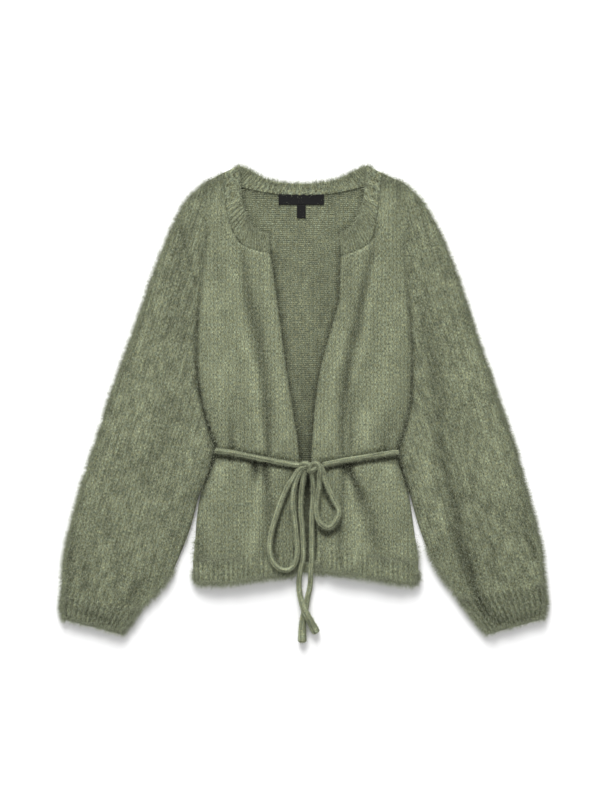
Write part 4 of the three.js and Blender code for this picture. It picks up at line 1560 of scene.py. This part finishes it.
class CARDIGAN_OT_neckband(bpy.types.Operator):
    """Build the ribbed neckband: its back and its two front stretches"""

    bl_idname = "cardigan.neckband"
    bl_label = "Neckband"

    def execute(self, context):
        left = [Point(row.open_x, row.open_y) for row in FRONT_LEFT[NECK_ROW:]]
        right = [Point(row.open_x, row.open_y) for row in FRONT_RIGHT[NECK_ROW:]]
        back = BACK_TOP[1:-1]
        add_fuzz(build_neckband("left", left, NECK_EDGE_LEFT, UPPER, FRONT_BAND_RIBS, 0.3))
        add_fuzz(build_neckband("right", right, NECK_EDGE_RIGHT, UPPER, FRONT_BAND_RIBS, 0.3))
        add_fuzz(build_neckband("back", back, BACK_NECK_EDGE, 0, BACK_BAND_RIBS, 1))
        return {"FINISHED"}


class CARDIGAN_OT_labels(bpy.types.Operator):
    """Build the bare neck label and its tab"""

    bl_idname = "cardigan.labels"
    bl_label = "Labels"

    def execute(self, context):
        build_label("neck_label", LABEL_GROWTH)
        build_label("size_tab", 0)
        return {"FINISHED"}


class CARDIGAN_OT_tie(bpy.types.Operator):
    """Build the knitted tie: its stretches, bows, free ends and knot"""

    bl_idname = "cardigan.tie"
    bl_label = "Tie"

    def execute(self, context):
        radius = context.scene.cardigan.tie_radius / MM
        for name, route in TIE_ROUTES.items():
            add_fuzz(build_tie_strand(name, route, radius))
        add_fuzz(build_knot(radius))
        return {"FINISHED"}


def build_floor():
    mesh = bmesh.new()
    bmesh.ops.create_grid(mesh, x_segments=1, y_segments=1, size=FLOOR_HALF)
    bmesh.ops.translate(mesh, vec=(0, 0, FLOOR_LEVEL), verts=mesh.verts)
    data = bpy.data.meshes.new("floor")
    mesh.to_mesh(data)
    mesh.free()
    data.materials.append(material_named("floor"))
    floor = bpy.data.objects.new("floor", data)
    bpy.context.scene.collection.objects.link(floor)
    return floor


def build_lamp():
    """A soft square lamp that looks at the middle of the cardigan."""
    lamp = bpy.data.lights.new("key", "AREA")
    lamp.size = LAMP_SIZE
    lamp.energy = LAMP_ENERGY
    obj = bpy.data.objects.new("key", lamp)
    obj.location = LAMP_PLACE
    obj.rotation_euler = (-Vector(LAMP_PLACE)).to_track_quat("-Z", "Y").to_euler()
    bpy.context.scene.collection.objects.link(obj)
    return obj


def build_camera():
    """A camera straight above, which looks down."""
    camera_data = bpy.data.cameras.new("camera")
    camera_data.lens = CAMERA_LENS
    camera = bpy.data.objects.new("camera", camera_data)
    camera.location = CAMERA_PLACE
    bpy.context.scene.collection.objects.link(camera)
    return camera


class CARDIGAN_OT_stage(bpy.types.Operator):
    """Build the white floor, the soft studio light and the camera straight above"""

    bl_idname = "cardigan.stage"
    bl_label = "Stage"

    def execute(self, context):
        scene = context.scene
        build_floor()
        build_lamp()
        scene.world = bpy.data.worlds.new("studio")
        scene.world.use_nodes = True
        background = scene.world.node_tree.nodes["Background"]
        background.inputs["Color"].default_value = (1, 1, 1, 1)
        background.inputs["Strength"].default_value = SKY
        scene.view_settings.view_transform = "Standard"
        scene.camera = build_camera()
        return {"FINISHED"}


SETTING_NAMES = ("yarn_color", "label_color", "tie_radius", "fibre_length", "fibre_radius", "fuzz_density")


class CARDIGAN_PT_panel(bpy.types.Panel):
    """Sizes, colours and pieces of the cardigan"""

    bl_idname = "CARDIGAN_PT_panel"
    bl_label = "Tie cardigan"
    bl_space_type = "VIEW_3D"
    bl_region_type = "UI"
    bl_category = "Cardigan"

    def draw(self, context):
        settings = context.scene.cardigan
        for name in SETTING_NAMES:
            self.layout.prop(settings, name)
        for operator in OPERATORS:
            self.layout.operator(operator.bl_idname)


OPERATORS = (
    CARDIGAN_OT_back,
    CARDIGAN_OT_fronts,
    CARDIGAN_OT_sleeves,
    CARDIGAN_OT_cuffs,
    CARDIGAN_OT_hem,
    CARDIGAN_OT_neckband,
    CARDIGAN_OT_labels,
    CARDIGAN_OT_tie,
    CARDIGAN_OT_stage,
)
CLASSES = (CardiganSettings, *OPERATORS, CARDIGAN_PT_panel)


def register():
    for cls in CLASSES:
        bpy.utils.register_class(cls)
    bpy.types.Scene.cardigan = bpy.props.PointerProperty(type=CardiganSettings)


def unregister():
    del bpy.types.Scene.cardigan
    for cls in reversed(CLASSES):
        bpy.utils.unregister_class(cls)


def main():
    register()
    bpy.ops.cardigan.stage()
    bpy.ops.cardigan.back()
    bpy.ops.cardigan.fronts()
    bpy.ops.cardigan.sleeves()
    bpy.ops.cardigan.cuffs()
    bpy.ops.cardigan.hem()
    bpy.ops.cardigan.neckband()
    bpy.ops.cardigan.labels()
    bpy.ops.cardigan.tie()


if __name__ == "__main__":
    main()
